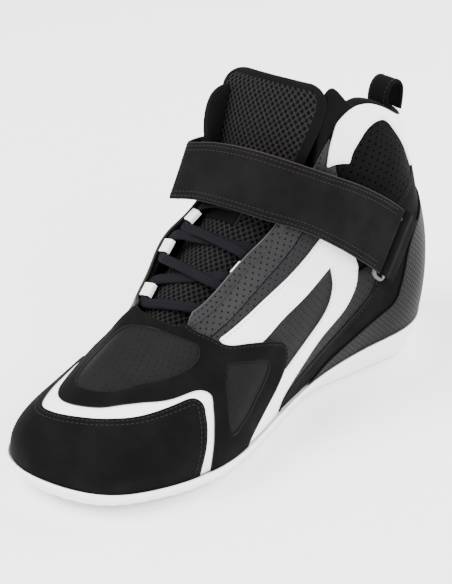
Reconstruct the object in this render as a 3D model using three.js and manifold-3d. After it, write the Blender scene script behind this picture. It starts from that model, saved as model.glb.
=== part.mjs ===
// High-top riding shoe, left foot. Millimetres, +Z up, toe towards -Y, lateral side towards +X.
// The upper is built like a lasted shoe: every panel is die-cut in a flat pattern space
// (k = station round the foot, t = height from the feather line to the top line) and is then
// wrapped on the foot form at its own depth in the lay-up.
import * as THREE from 'three';
import Module from 'manifold-3d';

const wasm = await Module();
wasm.setup();

// ---------------------------------------------------------------- driving dimensions
const SHOE_LENGTH = 304; // sole, toe to heel
const SHOE_WIDTH = 108; // sole at the ball
const COLLAR_HEIGHT = 184; // ground to the top of the ankle opening
const LINING = [-4.8, -2.7]; // depth of each ply below or above the foot form
const PLY_1 = [-2.4, -1.3];
const PLY_2 = [-1.0, 0.0];
const PLY_3 = [0.3, 1.3];
const SOLE_LEDGE = 2.2; // how far the cup sole stands out past the upper
const SOLE_GAP = 0.5;
const BOARD = 2.0;
const FOOTBED = 4.6;
const TONGUE_THICK = 6;
const LACE_WIDTH = 5.4;
const LACE_THICK = 2.8;
const LOOP_WALL = 0.8;
const STRAP_THICK = 1.6;
const RING_BAR = 3.0;
const PULL_LOOP_WIDTH = 15;

const SX = SHOE_WIDTH / 108;
const SY = SHOE_LENGTH / 304;
const SZ = COLLAR_HEIGHT / 184;
const at = (p) => new THREE.Vector3(p[0] * SX, p[1] * SY, p[2] * SZ);

// ---------------------------------------------------------------- foot form
// Five girth lines from the feather line up to the top line, sixteen stations each:
// 0 toe tip, 4 lateral waist, 8 heel back, 12 medial waist.
const FORM = [
  [[-15, -150, 19], [22, -136, 16.3], [42, -106, 13.2], [50, -62, 11], [42, -16, 12], [32, 32, 14.5],
    [36, 82, 20], [36, 124, 22.5], [2, 150, 24], [-30, 124, 22.5], [-33, 82, 20], [-28, 32, 14.5],
    [-35, -16, 12], [-48, -68, 11], [-51, -109, 13.4], [-42, -138, 16.7]],
  [[-13, -147, 37], [24, -134, 34], [43, -106, 32], [52, -60, 34], [46, -14, 38], [38, 34, 44],
    [39, 82, 52], [38, 126, 53], [2, 154, 55], [-33, 126, 53], [-36, 82, 52], [-36, 32, 44],
    [-44, -16, 38], [-51, -66, 34], [-49, -107, 33], [-37, -135, 36]],
  [[-11, -124, 54], [18, -114, 51], [36, -92, 50], [45, -54, 54], [41, -10, 63], [36, 32, 76],
    [36, 79, 90], [35.5, 122, 92], [1, 147, 94], [-34, 120, 92], [-37, 76, 90], [-41, 30, 76],
    [-46, -12, 63], [-46, -58, 54], [-42, -92, 48], [-29, -113, 51]],
  [[-9, -90, 66], [12, -84, 64], [26, -71, 64], [34, -42, 73], [34, -6, 88], [31, 29, 106.5],
    [33, 69, 129.5], [32, 112, 130], [1, 136, 134], [-33, 108, 130], [-39, 60, 130], [-42, 22, 107],
    [-44, -12, 88], [-40, -46, 72], [-35, -70, 64], [-23, -85, 65]],
  [[-12, -60, 85], [4, -59, 85], [13, -53, 86], [18, -36, 95], [20, -11, 111], [22, 21, 133],
    [30.5, 57.5, 183], [27, 106, 166], [0, 130, 158], [-30, 104, 166], [-41, 24, 178], [-40, 0, 137],
    [-37, -20, 113], [-34, -39, 97], [-31, -52, 86], [-24, -58, 85]],
];
const ROWS = FORM.length;
const COLS = 16;
const wrap = (i) => ((i % COLS) + COLS) % COLS;

function controlNet(target) {
  let net = target.map((row) => row.map((p) => at(p)));
  const goal = net.map((row) => row.map((p) => p.clone()));
  for (let pass = 0; pass < 60; pass += 1) {
    const ring = net.map((row) => row.map((p, i) => row[wrap(i - 1)].clone()
      .addScaledVector(p, 4).add(row[wrap(i + 1)]).multiplyScalar(1 / 6)));
    const low = ring[0].map((p, i) => p.clone().multiplyScalar(2).sub(ring[1][i]));
    const high = ring[ROWS - 1].map((p, i) => p.clone().multiplyScalar(2).sub(ring[ROWS - 2][i]));
    const tall = [low, ...ring, high];
    net = net.map((row, j) => row.map((p, i) => {
      const now = tall[j][i].clone().addScaledVector(tall[j + 1][i], 4).add(tall[j + 2][i]);
      return p.clone().add(goal[j][i]).addScaledVector(now, -1 / 6);
    }));
  }
  const low = net[0].map((p, i) => p.clone().multiplyScalar(2).sub(net[1][i]));
  const high = net[ROWS - 1].map((p, i) => p.clone().multiplyScalar(2).sub(net[ROWS - 2][i]));
  return [low, ...net, high];
}
const NET = controlNet(FORM);
const basis = (f) => [(1 - f) ** 3 / 6, (3 * f ** 3 - 6 * f * f + 4) / 6,
  (-3 * f ** 3 + 3 * f * f + 3 * f + 1) / 6, f ** 3 / 6];

function form(k, t) {
  if (t > 1) {
    const top = form(k, 1);
    const step = top.clone().sub(form(k, 0.98)).multiplyScalar(1 / 0.02);
    return top.addScaledVector(step, t - 1);
  }
  const ki = Math.floor(k);
  const s = Math.max(t, 0) * (ROWS - 1);
  const ti = Math.min(Math.floor(s), ROWS - 2);
  const wk = basis(k - ki);
  const wt = basis(s - ti);
  const out = new THREE.Vector3();
  for (let a = 0; a < 4; a += 1) {
    for (let b = 0; b < 4; b += 1) out.addScaledVector(NET[ti + a][wrap(ki - 1 + b)], wt[a] * wk[b]);
  }
  return out;
}

function outward(k, t) {
  const s = Math.min(Math.max(t, 0.01), 0.99);
  const du = form(k + 0.05, s).sub(form(k - 0.05, s));
  const dv = form(k, s + 0.01).sub(form(k, s - 0.01));
  const n = du.cross(dv).normalize();
  n.z *= Math.min(1, Math.max(0, s / 0.2));
  return n.normalize();
}

// ---------------------------------------------------------------- lay-up grid
const DK = 1 / 3;
const DT = 0.125;
const cache = new Map();
function node(i, j) {
  const key = `${((i % 48) + 48) % 48}:${j}`;
  if (!cache.has(key)) cache.set(key, [form(i * DK, j * DT), outward(i * DK, j * DT)]);
  return cache.get(key);
}
function lasted(k, t, h) {
  const i = Math.floor(k / DK + 1e-7);
  const j = Math.floor(t / DT + 1e-7);
  const a = k / DK - i;
  const b = t / DT - j;
  const w = a >= b ? [1 - a, a - b, b, 0] : [1 - b, 0, a, b - a];
  const q = [node(i, j), node(i + 1, j), node(i + 1, j + 1), node(i, j + 1)];
  const out = new THREE.Vector3();
  q.forEach(([p, n], c) => out.addScaledVector(p, w[c]).addScaledVector(n, w[c] * h));
  return out;
}
const PK = 10;
const PT = 40;
const lift = (i, j) => 0.02 * i * i + 0.05 * j * j + 0.03 * i * j;

// ---------------------------------------------------------------- solids
function solid(points, tris) {
  const v = new Float32Array(points.length * 3);
  points.forEach((p, i) => v.set([p.x, p.y, p.z], i * 3));
  return new wasm.Manifold(new wasm.Mesh({
    numProp: 3, vertProperties: v, triVerts: new Uint32Array(tris.flat()),
  }));
}
function geometry(points, tris) {
  const g = new THREE.BufferGeometry();
  g.setAttribute('position', new THREE.Float32BufferAttribute(points.flatMap((p) => [p.x, p.y, p.z]), 3));
  g.setIndex(tris.flat());
  return g;
}
function fromManifold(m, place = (p) => p) {
  const mesh = m.getMesh();
  const points = [];
  for (let i = 0; i < mesh.vertProperties.length; i += mesh.numProp) {
    points.push(place(new THREE.Vector3(...mesh.vertProperties.slice(i, i + 3))));
  }
  const tris = [];
  for (let i = 0; i < mesh.triVerts.length; i += 3) tris.push([...mesh.triVerts.slice(i, i + 3)]);
  return geometry(points, tris);
}

function prism(outline, holes, z0, z1) {
  const flat = (list, ccw) => {
    const pts = list.map(([x, y]) => new THREE.Vector2(x, y));
    if (THREE.ShapeUtils.isClockWise(pts) === ccw) pts.reverse();
    return pts;
  };
  const outer = flat(outline, true);
  const inner = holes.map((h) => flat(h, false));
  const faces = THREE.ShapeUtils.triangulateShape(outer, inner);
  const rings = [outer, ...inner];
  const all = rings.flat();
  const n = all.length;
  const points = [];
  for (const z of [z0, z1]) for (const p of all) points.push(new THREE.Vector3(p.x, p.y, z));
  const tris = [];
  for (const [a, b, c] of faces) {
    tris.push([a + n, b + n, c + n]);
    tris.push([a, c, b]);
  }
  let base = 0;
  for (const ring of rings) {
    for (let i = 0; i < ring.length; i += 1) {
      const a = base + i;
      const b = base + ((i + 1) % ring.length);
      tris.push([a, b, b + n]);
      tris.push([a, b + n, a + n]);
    }
    base += ring.length;
  }
  return solid(points, tris);
}

// A run of outline: its points joined by a smooth curve (or straight when there are two).
function run(points, per = 2) {
  if (points.length < 3) return points;
  const curve = new THREE.CatmullRomCurve3(points.map(([x, y]) => new THREE.Vector3(x * PK, y * PT * 3, 0)),
    false, 'centripetal');
  return curve.getPoints((points.length - 1) * per).map((p) => [p.x / PK, p.y / (PT * 3)]);
}
function outline(...runs) {
  const all = [];
  for (const r of runs) all.push(...run(r).slice(0, -1));
  return all;
}
const ring = (points) => run([...points, points[0]]).slice(0, -1);
const mirror = (points) => points.map(([k, t]) => [16 - k, t]);

// Die-cut panel: pattern sheet between two depths, cut to the outline, wrapped on the form.
function panel(shape, holes, depth) {
  const ks = shape.map((p) => p[0]);
  const ts = shape.map((p) => p[1]);
  const i0 = Math.floor(Math.min(...ks) / DK) - 1;
  const i1 = Math.ceil(Math.max(...ks) / DK) + 1;
  const j0 = Math.max(Math.floor(Math.min(...ts) / DT) - 1, -1);
  const j1 = Math.min(Math.ceil(Math.max(...ts) / DT) + 1, 9);
  const wide = i1 - i0 + 1;
  const tall = j1 - j0 + 1;
  const points = [];
  for (const z of [-1, 1]) {
    for (let j = j0; j <= j1; j += 1) {
      for (let i = i0; i <= i1; i += 1) points.push(new THREE.Vector3(i * DK * PK, j * DT * PT, lift(i, j) + z));
    }
  }
  const id = (i, j, s) => s * wide * tall + j * wide + i;
  const tris = [];
  for (let j = 0; j < tall - 1; j += 1) {
    for (let i = 0; i < wide - 1; i += 1) {
      const [a, b, c, d] = [id(i, j, 0), id(i + 1, j, 0), id(i + 1, j + 1, 0), id(i, j + 1, 0)];
      const up = wide * tall;
      tris.push([a + up, b + up, c + up], [a + up, c + up, d + up], [a, c, b], [a, d, c]);
    }
  }
  const edge = [];
  for (let i = 0; i < wide - 1; i += 1) edge.push(id(i, 0, 0));
  for (let j = 0; j < tall - 1; j += 1) edge.push(id(wide - 1, j, 0));
  for (let i = wide - 1; i > 0; i -= 1) edge.push(id(i, tall - 1, 0));
  for (let j = tall - 1; j > 0; j -= 1) edge.push(id(0, j, 0));
  edge.forEach((a, e) => {
    const b = edge[(e + 1) % edge.length];
    const up = wide * tall;
    tris.push([a, b, b + up], [a, b + up, a + up]);
  });
  const sheet = solid(points, tris);
  const scaled = (list) => list.map(([k, t]) => [k * PK, t * PT]);
  const die = prism(scaled(shape), holes.map(scaled), -400, 400);
  const cut = sheet.intersect(die);
  return fromManifold(cut, (p) => {
    const k = p.x / PK;
    const t = p.y / PT;
    const i = Math.floor(k / DK + 1e-7);
    const j = Math.floor(t / DT + 1e-7);
    const a = k / DK - i;
    const b = t / DT - j;
    const z = a >= b
      ? lift(i, j) * (1 - a) + lift(i + 1, j) * (a - b) + lift(i + 1, j + 1) * b
      : lift(i, j) * (1 - b) + lift(i, j + 1) * (b - a) + lift(i + 1, j + 1) * a;
    return lasted(k, t, p.z > z ? depth[1] : depth[0]);
  });
}

// Body swept through rings of equal length; caps follow the given flat profile.
function swept(rings, profile, closed = false, crossed = -1) {
  const n = rings[0].length;
  const points = rings.flat();
  const tris = [];
  const count = rings.length;
  const spans = closed ? count : count - 1;
  for (let i = 0; i < spans; i += 1) {
    const next = ((i + 1) % count) * n;
    for (let j = 0; j < n; j += 1) {
      const k = (j + 1) % n;
      if (j === crossed) tris.push([i * n + j, i * n + k, next + j], [i * n + k, next + k, next + j]);
      else tris.push([i * n + j, i * n + k, next + k], [i * n + j, next + k, next + j]);
    }
  }
  if (!closed) {
    const flat = profile.map(([x, y]) => new THREE.Vector2(x, y));
    const turn = THREE.ShapeUtils.area(flat) > 0;
    const faces = THREE.ShapeUtils.triangulateShape(flat, [])
      .map(([a, b, c]) => ((THREE.ShapeUtils.area([flat[a], flat[b], flat[c]]) > 0) === turn ? [a, b, c] : [a, c, b]));
    const last = (count - 1) * n;
    for (const [a, b, c] of faces) tris.push([a, c, b], [last + a, last + b, last + c]);
  }
  return outwardFacing(points, tris);
}
function outwardFacing(points, tris) {
  let volume = 0;
  for (const [a, b, c] of tris) volume += points[a].dot(points[b].clone().cross(points[c]));
  return geometry(points, volume < 0 ? tris.map(([a, b, c]) => [a, c, b]) : tris);
}

// Plate closed by girth loops from the bottom up; both faces are ruled across the foot.
function plate(loops) {
  const n = loops[0].length;
  const half = n / 2;
  const points = loops.flat();
  const tris = [];
  for (let l = 0; l < loops.length - 1; l += 1) {
    for (let i = 0; i < n; i += 1) {
      const j = (i + 1) % n;
      tris.push([l * n + i, l * n + j, (l + 1) * n + j], [l * n + i, (l + 1) * n + j, (l + 1) * n + i]);
    }
  }
  const top = (loops.length - 1) * n;
  for (const [base, flip] of [[0, true], [top, false]]) {
    for (let i = 0; i < half; i += 1) {
      const a = base + i;
      const b = base + i + 1;
      const c = base + ((n - i - 1) % n);
      const d = base + ((n - i) % n);
      const add = (x, y, z) => {
        if (x !== y && y !== z && x !== z) tris.push(flip ? [x, z, y] : [x, y, z]);
      };
      if (i === half - 1) add(a, b, d);
      else {
        add(a, b, c);
        if (i > 0) add(a, c, d);
      }
    }
  }
  return { points, tris };
}

// ---------------------------------------------------------------- assembly
const shoe = new THREE.Group();
shoe.name = 'riding_shoe';
const skin = (color, roughness = 0.8, metalness = 0) => ({ color, roughness, metalness });
const WHITE_RUBBER = skin(0xeeebe8, 0.6);
const NUBUCK = skin(0x242223, 0.9);
const PERFORATED = skin(0x464246, 0.7);
const FLEX = skin(0x343034, 0.8);
const WHITE_LEATHER = skin(0xf0f0f4, 0.45);
const EMBOSSED = skin(0x555058, 0.5);
const KNIT = skin(0x2b2a2e, 0.95);
const MESH = skin(0x1f1e20, 0.95);
const CORD = skin(0x28263a, 0.85);
const WEBBING = skin(0xdcdee2, 0.8);
const STEEL = skin(0xb9bcc2, 0.25, 1);
const BOARD_GREY = skin(0x8d8478, 0.9);
function add(name, g, look) {
  const mesh = new THREE.Mesh(g, new THREE.MeshStandardMaterial(look));
  mesh.name = name;
  shoe.add(mesh);
}

// ---------------------------------------------------------------- bottom unit
const AROUND = 64;
const feather = [];
for (let i = 0; i <= 32; i += 1) feather.push(form((i * 8) / 32, 0));
function featherZ(y) {
  if (y <= feather[0].y) return feather[0].z;
  for (let i = 1; i < feather.length; i += 1) {
    if (y <= feather[i].y) {
      const f = (y - feather[i - 1].y) / (feather[i].y - feather[i - 1].y);
      return feather[i - 1].z + f * (feather[i].z - feather[i - 1].z);
    }
  }
  return feather[feather.length - 1].z;
}
function girth(inset, rise) {
  const loop = [];
  for (let i = 0; i < AROUND; i += 1) {
    const k = (i * 16) / AROUND;
    const n = outward(k, 0);
    const p = form(k, 0).addScaledVector(n, -inset);
    p.z = featherZ(form(k, 0).y) + rise;
    loop.push(p);
  }
  return loop;
}
const TREAD = [[-13, -147, 8], [21, -132, 5.2], [38, -104, 2.6], [47, -62, 0], [39, -16, 0], [25, 30, 0],
  [31, 80, 0], [33, 118, 0], [2, 142, 0.8], [-27, 118, 0], [-29, 80, 0], [-22, 30, 0],
  [-31, -16, 0], [-44, -68, 0], [-46, -106, 2.6], [-38, -134, 5.2]].map(at);
const treadCurve = new THREE.CatmullRomCurve3(TREAD, true, 'centripetal');
function treadLoop(inset, rise) {
  const loop = [];
  for (let i = 0; i < AROUND; i += 1) {
    const p = treadCurve.getPoint(i / AROUND);
    const n = outward((i * 16) / AROUND, 0);
    p.addScaledVector(n, -inset);
    p.z = Math.max(p.z, 0) + rise;
    loop.push(p);
  }
  return loop;
}
{
  const mid = girth(-SOLE_LEDGE - 0.6, 0).map((p, i) => p.lerp(treadLoop(0, 0)[i], 0.45));
  const body = plate([treadLoop(2.0, 0), treadLoop(0, 1.6), mid,
    girth(-SOLE_LEDGE - 0.4, -2.4), girth(-SOLE_LEDGE, -SOLE_GAP), girth(1.6, -SOLE_GAP)]);
  let outsole = solid(body.points, body.tris);
  // seat for the steel shank
  const seat = [];
  for (let y = -34; y <= 58; y += 11.5) {
    const z = featherZ(y * SY) - SOLE_GAP;
    seat.push([[-11, z - 2.2], [11, z - 2.2], [11, z + 4], [-11, z + 4]]
      .map(([x, h]) => new THREE.Vector3(x - 1, y * SY, h)));
  }
  const bite = swept(seat, [[0, 0], [1, 0], [1, 1], [0, 1]]);
  const pos = bite.getAttribute('position');
  const pts = [];
  for (let i = 0; i < pos.count; i += 1) pts.push(new THREE.Vector3().fromBufferAttribute(pos, i));
  const idx = [...bite.getIndex().array];
  outsole = outsole.subtract(solid(pts, idx.reduce((r, v, i) => {
    if (i % 3 === 0) r.push([]);
    r[r.length - 1].push(v);
    return r;
  }, [])));
  add('outsole', fromManifold(outsole), WHITE_RUBBER);

  const steel = [];
  for (let y = -33; y <= 57; y += 11.25) {
    const z = featherZ(y * SY) - SOLE_GAP;
    steel.push([[-10, z - 1.7], [10, z - 1.7], [10, z - 0.3], [-10, z - 0.3]]
      .map(([x, h]) => new THREE.Vector3(x - 1, y * SY, h)));
  }
  add('shank', swept(steel, [[0, 0], [1, 0], [1, 1], [0, 1]]), STEEL);

  const board = plate([girth(5.6, 0), girth(5.6, BOARD)]);
  add('insole_board', outwardFacing(board.points, board.tris), BOARD_GREY);
  const bed = plate([girth(6.4, BOARD + 0.3), girth(6.6, BOARD + 1.6), girth(7.2, BOARD + FOOTBED)]);
  add('footbed', outwardFacing(bed.points, bed.tris), KNIT);
}

// ---------------------------------------------------------------- linings
const TOP = 0.985;
add('vamp_lining', panel(outline([[-2.99, 0], [2.99, 0]], [[2.99, 0], [2.99, TOP]], [[2.99, TOP], [-2.99, TOP]],
  [[-2.99, TOP], [-2.99, 0]]), [], LINING), KNIT);
add('quarter_lining_lateral', panel(outline([[3.01, 0], [6.99, 0]], [[6.99, 0], [6.99, TOP]],
  [[6.99, TOP], [3.01, TOP]], [[3.01, TOP], [3.01, 0]]), [], LINING), KNIT);
add('heel_lining', panel(outline([[7.01, 0], [8.99, 0]], [[8.99, 0], [8.99, TOP]], [[8.99, TOP], [7.01, TOP]],
  [[7.01, TOP], [7.01, 0]]), [], LINING), KNIT);
add('quarter_lining_medial', panel(outline([[9.01, 0], [12.99, 0]], [[12.99, 0], [12.99, TOP]],
  [[12.99, TOP], [9.01, TOP]], [[9.01, TOP], [9.01, 0]]), [], LINING), KNIT);

// ---------------------------------------------------------------- first ply
add('toe_puff', panel(outline([[-2.5, 0.01], [2.5, 0.01]], [[2.5, 0.01], [2.4, 0.3], [2.0, 0.4]],
  [[2.0, 0.4], [0, 0.34], [-1.8, 0.34]], [[-1.8, 0.34], [-2.4, 0.25], [-2.5, 0.01]]), [], PLY_1), BOARD_GREY);
const QUARTER = outline([[2.62, 0.01], [5.7, 0.01]], [[5.7, 0.01], [5.7, 0.852]], [[5.7, 0.852], [4.8, 0.852]],
  [[4.8, 0.852], [3.9, 0.86], [2.4, 0.86]], [[2.4, 0.86], [2.62, 0.5]], [[2.62, 0.5], [2.62, 0.01]]);
const EYESTAY = outline([[2.05, 0.872], [3.9, 0.872], [4.8, 0.864]], [[4.8, 0.864], [5.7, 0.864]],
  [[5.7, 0.864], [5.7, TOP]], [[5.7, TOP], [2.05, TOP]], [[2.05, TOP], [2.05, 0.872]]);
const PATCH = outline([[5.72, 0.45], [7.3, 0.45]], [[7.3, 0.45], [7.3, 0.97]], [[7.3, 0.97], [5.72, 0.97]],
  [[5.72, 0.97], [5.72, 0.45]]);
add('quarter_lateral', panel(QUARTER, [], PLY_1), PERFORATED);
add('quarter_medial', panel(mirror(QUARTER), [], PLY_1), PERFORATED);
add('eyestay_lateral', panel(EYESTAY, [], PLY_1), PERFORATED);
add('eyestay_medial', panel(mirror(EYESTAY), [], PLY_1), PERFORATED);
add('ankle_patch_lateral', panel(PATCH, [], PLY_1), FLEX);
add('ankle_patch_medial', panel(mirror(PATCH), [], PLY_1), FLEX);
add('heel_stiffener', panel(outline([[5.72, 0.01], [10.28, 0.01]], [[10.28, 0.01], [10.28, 0.44]],
  [[10.28, 0.44], [5.72, 0.44]], [[5.72, 0.44], [5.72, 0.01]]), [], PLY_1), BOARD_GREY);
add('achilles_panel', panel(outline([[7.32, 0.45], [8.68, 0.45]], [[8.68, 0.45], [8.68, 0.97]],
  [[8.68, 0.97], [7.32, 0.97]], [[7.32, 0.97], [7.32, 0.45]]), [], PLY_1), NUBUCK);
add('vamp_base', panel(outline([[-2.5, 0.45], [0, 0.4], [2.55, 0.45]], [[2.55, 0.45], [2.55, 0.6], [2.0, 0.86]],
  [[2.0, 0.86], [2.0, TOP]], [[2.0, TOP], [-2.0, TOP]], [[-2.0, TOP], [-2.0, 0.86]],
  [[-2.0, 0.86], [-2.55, 0.6], [-2.5, 0.45]]), [], PLY_1), KNIT);

// ---------------------------------------------------------------- second ply
add('toe_band', panel(outline([[2.9, 0.01], [2.88, 0.3], [2.86, 0.46], [2.74, 0.59], [2.4, 0.665], [1.9, 0.685],
  [1.4, 0.665], [1.0, 0.625], [0.6, 0.575], [0, 0.545], [-0.6, 0.55], [-1.2, 0.59], [-1.8, 0.625],
  [-2.3, 0.625], [-2.7, 0.52], [-2.85, 0.3], [-2.88, 0.01]], [[-2.88, 0.01], [-2.58, 0.01]],
[[-2.58, 0.01], [-2.55, 0.3], [-2.4, 0.42], [-2.0, 0.45], [-1.4, 0.42], [-0.6, 0.39], [0, 0.39],
  [0.6, 0.44], [1.2, 0.49], [1.8, 0.53], [2.2, 0.545], [2.4, 0.5], [2.52, 0.3], [2.52, 0.01]],
[[2.52, 0.01], [2.9, 0.01]]), [], PLY_2), WHITE_LEATHER);
add('vamp_flex_insert', panel(ring([[-0.2, 0.573], [-0.7, 0.59], [-1.25, 0.64], [-1.5, 0.77], [-1.0, 0.89],
  [0, 0.95], [1, 0.97], [1.9, 0.955], [2.5, 0.86], [2.45, 0.76], [1.85, 0.74], [1.05, 0.68],
  [0.7, 0.625], [0.3, 0.585]]), [], PLY_2), FLEX);
const SIDE_FLEX = outline([[2.96, 0.68], [3.0, 0.45], [3.02, 0.2]], [[3.02, 0.2], [3.12, 0.15], [3.36, 0.22]],
  [[3.36, 0.22], [3.86, 0.4]], [[3.86, 0.4], [3.86, 0.5], [3.75, 0.53]],
  [[3.75, 0.53], [3.3, 0.545], [3.1, 0.64], [2.96, 0.68]]);
add('flex_insert_lateral', panel(SIDE_FLEX, [], PLY_2), FLEX);
const STRIPE = outline([[5.25, 0.74], [4.8, 0.76], [3.8, 0.83], [2.75, 0.868]],
  [[2.75, 0.868], [2.9, 0.79], [3.35, 0.63]],
  [[3.35, 0.63], [3.7, 0.605], [4.1, 0.6], [4.7, 0.575], [5.28, 0.575]],
  [[5.28, 0.575], [5.24, 0.46], [5.0, 0.385], [4.3, 0.32], [3.9, 0.29]], [[3.9, 0.29], [3.45, 0.15]],
  [[3.45, 0.15], [3.4, 0.01]], [[3.4, 0.01], [4.2, 0.01]],
  [[4.2, 0.01], [4.26, 0.13], [4.6, 0.22], [5.0, 0.29], [5.4, 0.325], [5.62, 0.38], [5.72, 0.47]],
  [[5.72, 0.47], [5.6, 0.64], [5.25, 0.74]]);
add('stripe_lateral', panel(STRIPE, [], PLY_2), WHITE_LEATHER);
add('stripe_medial', panel(mirror(STRIPE), [], PLY_2), WHITE_LEATHER);
const HEEL_SIDE = [[4.24, 0.01], [4.5, 0.11], [5.2, 0.2], [5.9, 0.3], [6.05, 0.42], [6.3, 0.56],
  [6.8, 0.66], [7.4, 0.7], [8, 0.71]];
add('heel_overlay', panel(outline([...HEEL_SIDE, ...mirror(HEEL_SIDE.slice(0, -1)).reverse()],
  [[11.76, 0.01], [4.24, 0.01]]), [], PLY_2), NUBUCK);
const COLLAR_PANEL = outline([[5.5, 0.9], [5.6, 0.95], [5.78, TOP]], [[5.78, TOP], [7.96, TOP]],
  [[7.96, TOP], [7.96, 0.735]], [[7.96, 0.735], [7.5, 0.725], [7.16, 0.72]],
  [[7.16, 0.72], [7.1, 0.84], [6.96, 0.9], [6.8, 0.94], [6.6, 0.955], [6.4, 0.95], [6.15, 0.92],
    [5.98, 0.885], [5.86, 0.845]], [[5.86, 0.845], [5.5, 0.9]]);
add('collar_panel_lateral', panel(COLLAR_PANEL, [], PLY_2), WHITE_LEATHER);
add('collar_panel_medial', panel(mirror(COLLAR_PANEL), [], PLY_2), WHITE_LEATHER);

// ---------------------------------------------------------------- third ply
add('toe_cap', panel(outline([[2.62, 0.01], [2.68, 0.27], [2.66, 0.42], [2.56, 0.53], [2.32, 0.585],
  [2.0, 0.575], [1.4, 0.535], [1.0, 0.51], [0.6, 0.48], [0, 0.44], [-0.6, 0.42], [-1.2, 0.44],
  [-1.8, 0.48], [-2.2, 0.5], [-2.5, 0.46], [-2.64, 0.3], [-2.66, 0.01]], [[-2.66, 0.01], [2.62, 0.01]]),
[], PLY_3), NUBUCK);
const VAMP_WINDOW = ring([[-0.2, 0.6], [-0.6, 0.615], [-1.1, 0.66], [-1.3, 0.77], [-0.8, 0.88], [0, 0.928],
  [1, 0.948], [1.85, 0.93], [2.32, 0.86], [2.3, 0.785], [1.8, 0.765], [1.0, 0.705], [0.7, 0.655],
  [0.3, 0.61]]);
const SIDE_WINDOW = outline([[3.02, 0.655], [3.06, 0.45], [3.07, 0.23]], [[3.07, 0.23], [3.14, 0.19], [3.3, 0.24]],
  [[3.3, 0.24], [3.78, 0.4]], [[3.78, 0.4], [3.81, 0.46], [3.75, 0.485]],
  [[3.75, 0.485], [3.3, 0.59], [3.12, 0.635], [3.02, 0.655]]);
add('vamp_overlay', panel(outline([[2.78, 0.01], [2.78, 0.29], [2.77, 0.44], [2.68, 0.56], [2.38, 0.62],
  [2.0, 0.62], [1.4, 0.615], [1.0, 0.585], [0.6, 0.535], [0, 0.5], [-0.6, 0.51], [-1.2, 0.545],
  [-1.8, 0.58], [-2.3, 0.58], [-2.62, 0.48], [-2.78, 0.28], [-2.8, 0.01]], [[-2.8, 0.01], [-3.45, 0.01]],
[[-3.45, 0.01], [-3.7, 0.16], [-3.8, 0.3], [-3.3, 0.46], [-2.6, 0.6], [-2.1, 0.75], [-1.6, 0.88], [-0.9, TOP]],
[[-0.9, TOP], [2.0, TOP]], [[2.0, TOP], [2.6, 0.88], [3.0, 0.76], [3.4, 0.675], [3.9, 0.55],
  [4.15, 0.47], [4.2, 0.38], [4.0, 0.28], [3.7, 0.18], [3.5, 0.08], [3.45, 0.01]],
[[3.45, 0.01], [2.78, 0.01]]), [VAMP_WINDOW, SIDE_WINDOW], PLY_3), NUBUCK);
const COUNTER = [[4.9, 0.01], [5.2, 0.08], [5.6, 0.13], [6.0, 0.17], [6.3, 0.21], [6.42, 0.28], [6.5, 0.34],
  [6.6, 0.42], [6.75, 0.48], [6.95, 0.52], [7.5, 0.57], [8, 0.58]];
add('heel_counter', panel(outline([...COUNTER, ...mirror(COUNTER.slice(0, -1)).reverse()],
  [[11.1, 0.01], [4.9, 0.01]]), [], PLY_3), EMBOSSED);

// ---------------------------------------------------------------- collar padding
{
  const profile = [[0.625, -5.4], [0.75, -5.2], [0.875, -5.2], [0.988, -5.2], [0.996, -2.6], [0.998, 0.4], [1.012, 1.0],
    [1.032, -0.6], [1.045, -4], [1.04, -8], [1.01, -11.5], [0.93, -13], [0.8, -12], [0.68, -9.5], [0.625, -7]];
  const rings = [];
  const stations = 12;
  for (let i = 0; i <= stations; i += 1) {
    const k = 17 / 3 + i * DK;
    const fade = Math.min(1, 0.4 + 0.3 * Math.min(i, stations - i));
    rings.push(profile.map(([t, h]) => {
      const depth = h < -5.4 ? -5.4 + (h + 5.4) * fade : h;
      return lasted(k, t, depth);
    }));
  }
  add('collar_padding', swept(rings, profile.map(([t, h]) => [t * 150, h])), KNIT);
}

// ---------------------------------------------------------------- tongue
const SPINE = [[-9, -78, 62], [-9, -61, 74], [-9, -41, 88.5], [-9, -23, 102.5], [-8.5, -6, 117.5], [-8, 7, 132.5],
  [-5, 14, 160], [-3, 24, 182], [-2, 33, 202]].map(at);
const SPINE_HALF = [13, 14, 20, 23, 24, 24.5, 26, 28, 28];
const SPINE_DROP = [5, 6, 8, 9, 9.5, 9.5, 7, 6, 6];
const spine = new THREE.CatmullRomCurve3(SPINE, false, 'centripetal');
function along(list, s) {
  const x = s * (list.length - 1);
  const i = Math.min(Math.floor(x), list.length - 2);
  return list[i] + (list[i + 1] - list[i]) * (x - i);
}
function tongueAt(s, r, h) {
  const c = spine.getPoint(s);
  const dir = spine.getTangent(s);
  const across = new THREE.Vector3(1, 0.16, 0).normalize();
  const n = across.clone().cross(dir).normalize();
  const half = along(SPINE_HALF, s) * SX;
  return c.addScaledVector(across, r * half).addScaledVector(n, h - along(SPINE_DROP, s) * r * r);
}
function tongueBody(s0, s1, steps, roundEnd) {
  const rs = [-1, -0.75, -0.5, -0.25, 0, 0.25, 0.5, 0.75, 1];
  const rings = [];
  const profile = [...rs.map((r) => [r * 30, 0]), [31, -3], ...rs.map((r) => [-r * 30, -TONGUE_THICK]), [-31, -3]];
  for (let i = 0; i <= steps; i += 1) {
    const s = s0 + ((s1 - s0) * i) / steps;
    const near = roundEnd ? Math.min(1, (steps - i) / 1.5 + 0.35) : 1;
    const th = TONGUE_THICK * near;
    const front = -(TONGUE_THICK - th) / 2;
    rings.push([...rs.map((r) => tongueAt(s, r, front)), tongueAt(s, 1.03, front - th / 2),
      ...rs.map((r) => tongueAt(s, -r, front - th)), tongueAt(s, -1.03, front - th / 2)]);
  }
  return swept(rings, profile);
}
const TONGUE_SPLIT = 0.8;
add('tongue', tongueBody(0.0, TONGUE_SPLIT - 0.0025, 14, false), MESH);
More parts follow.
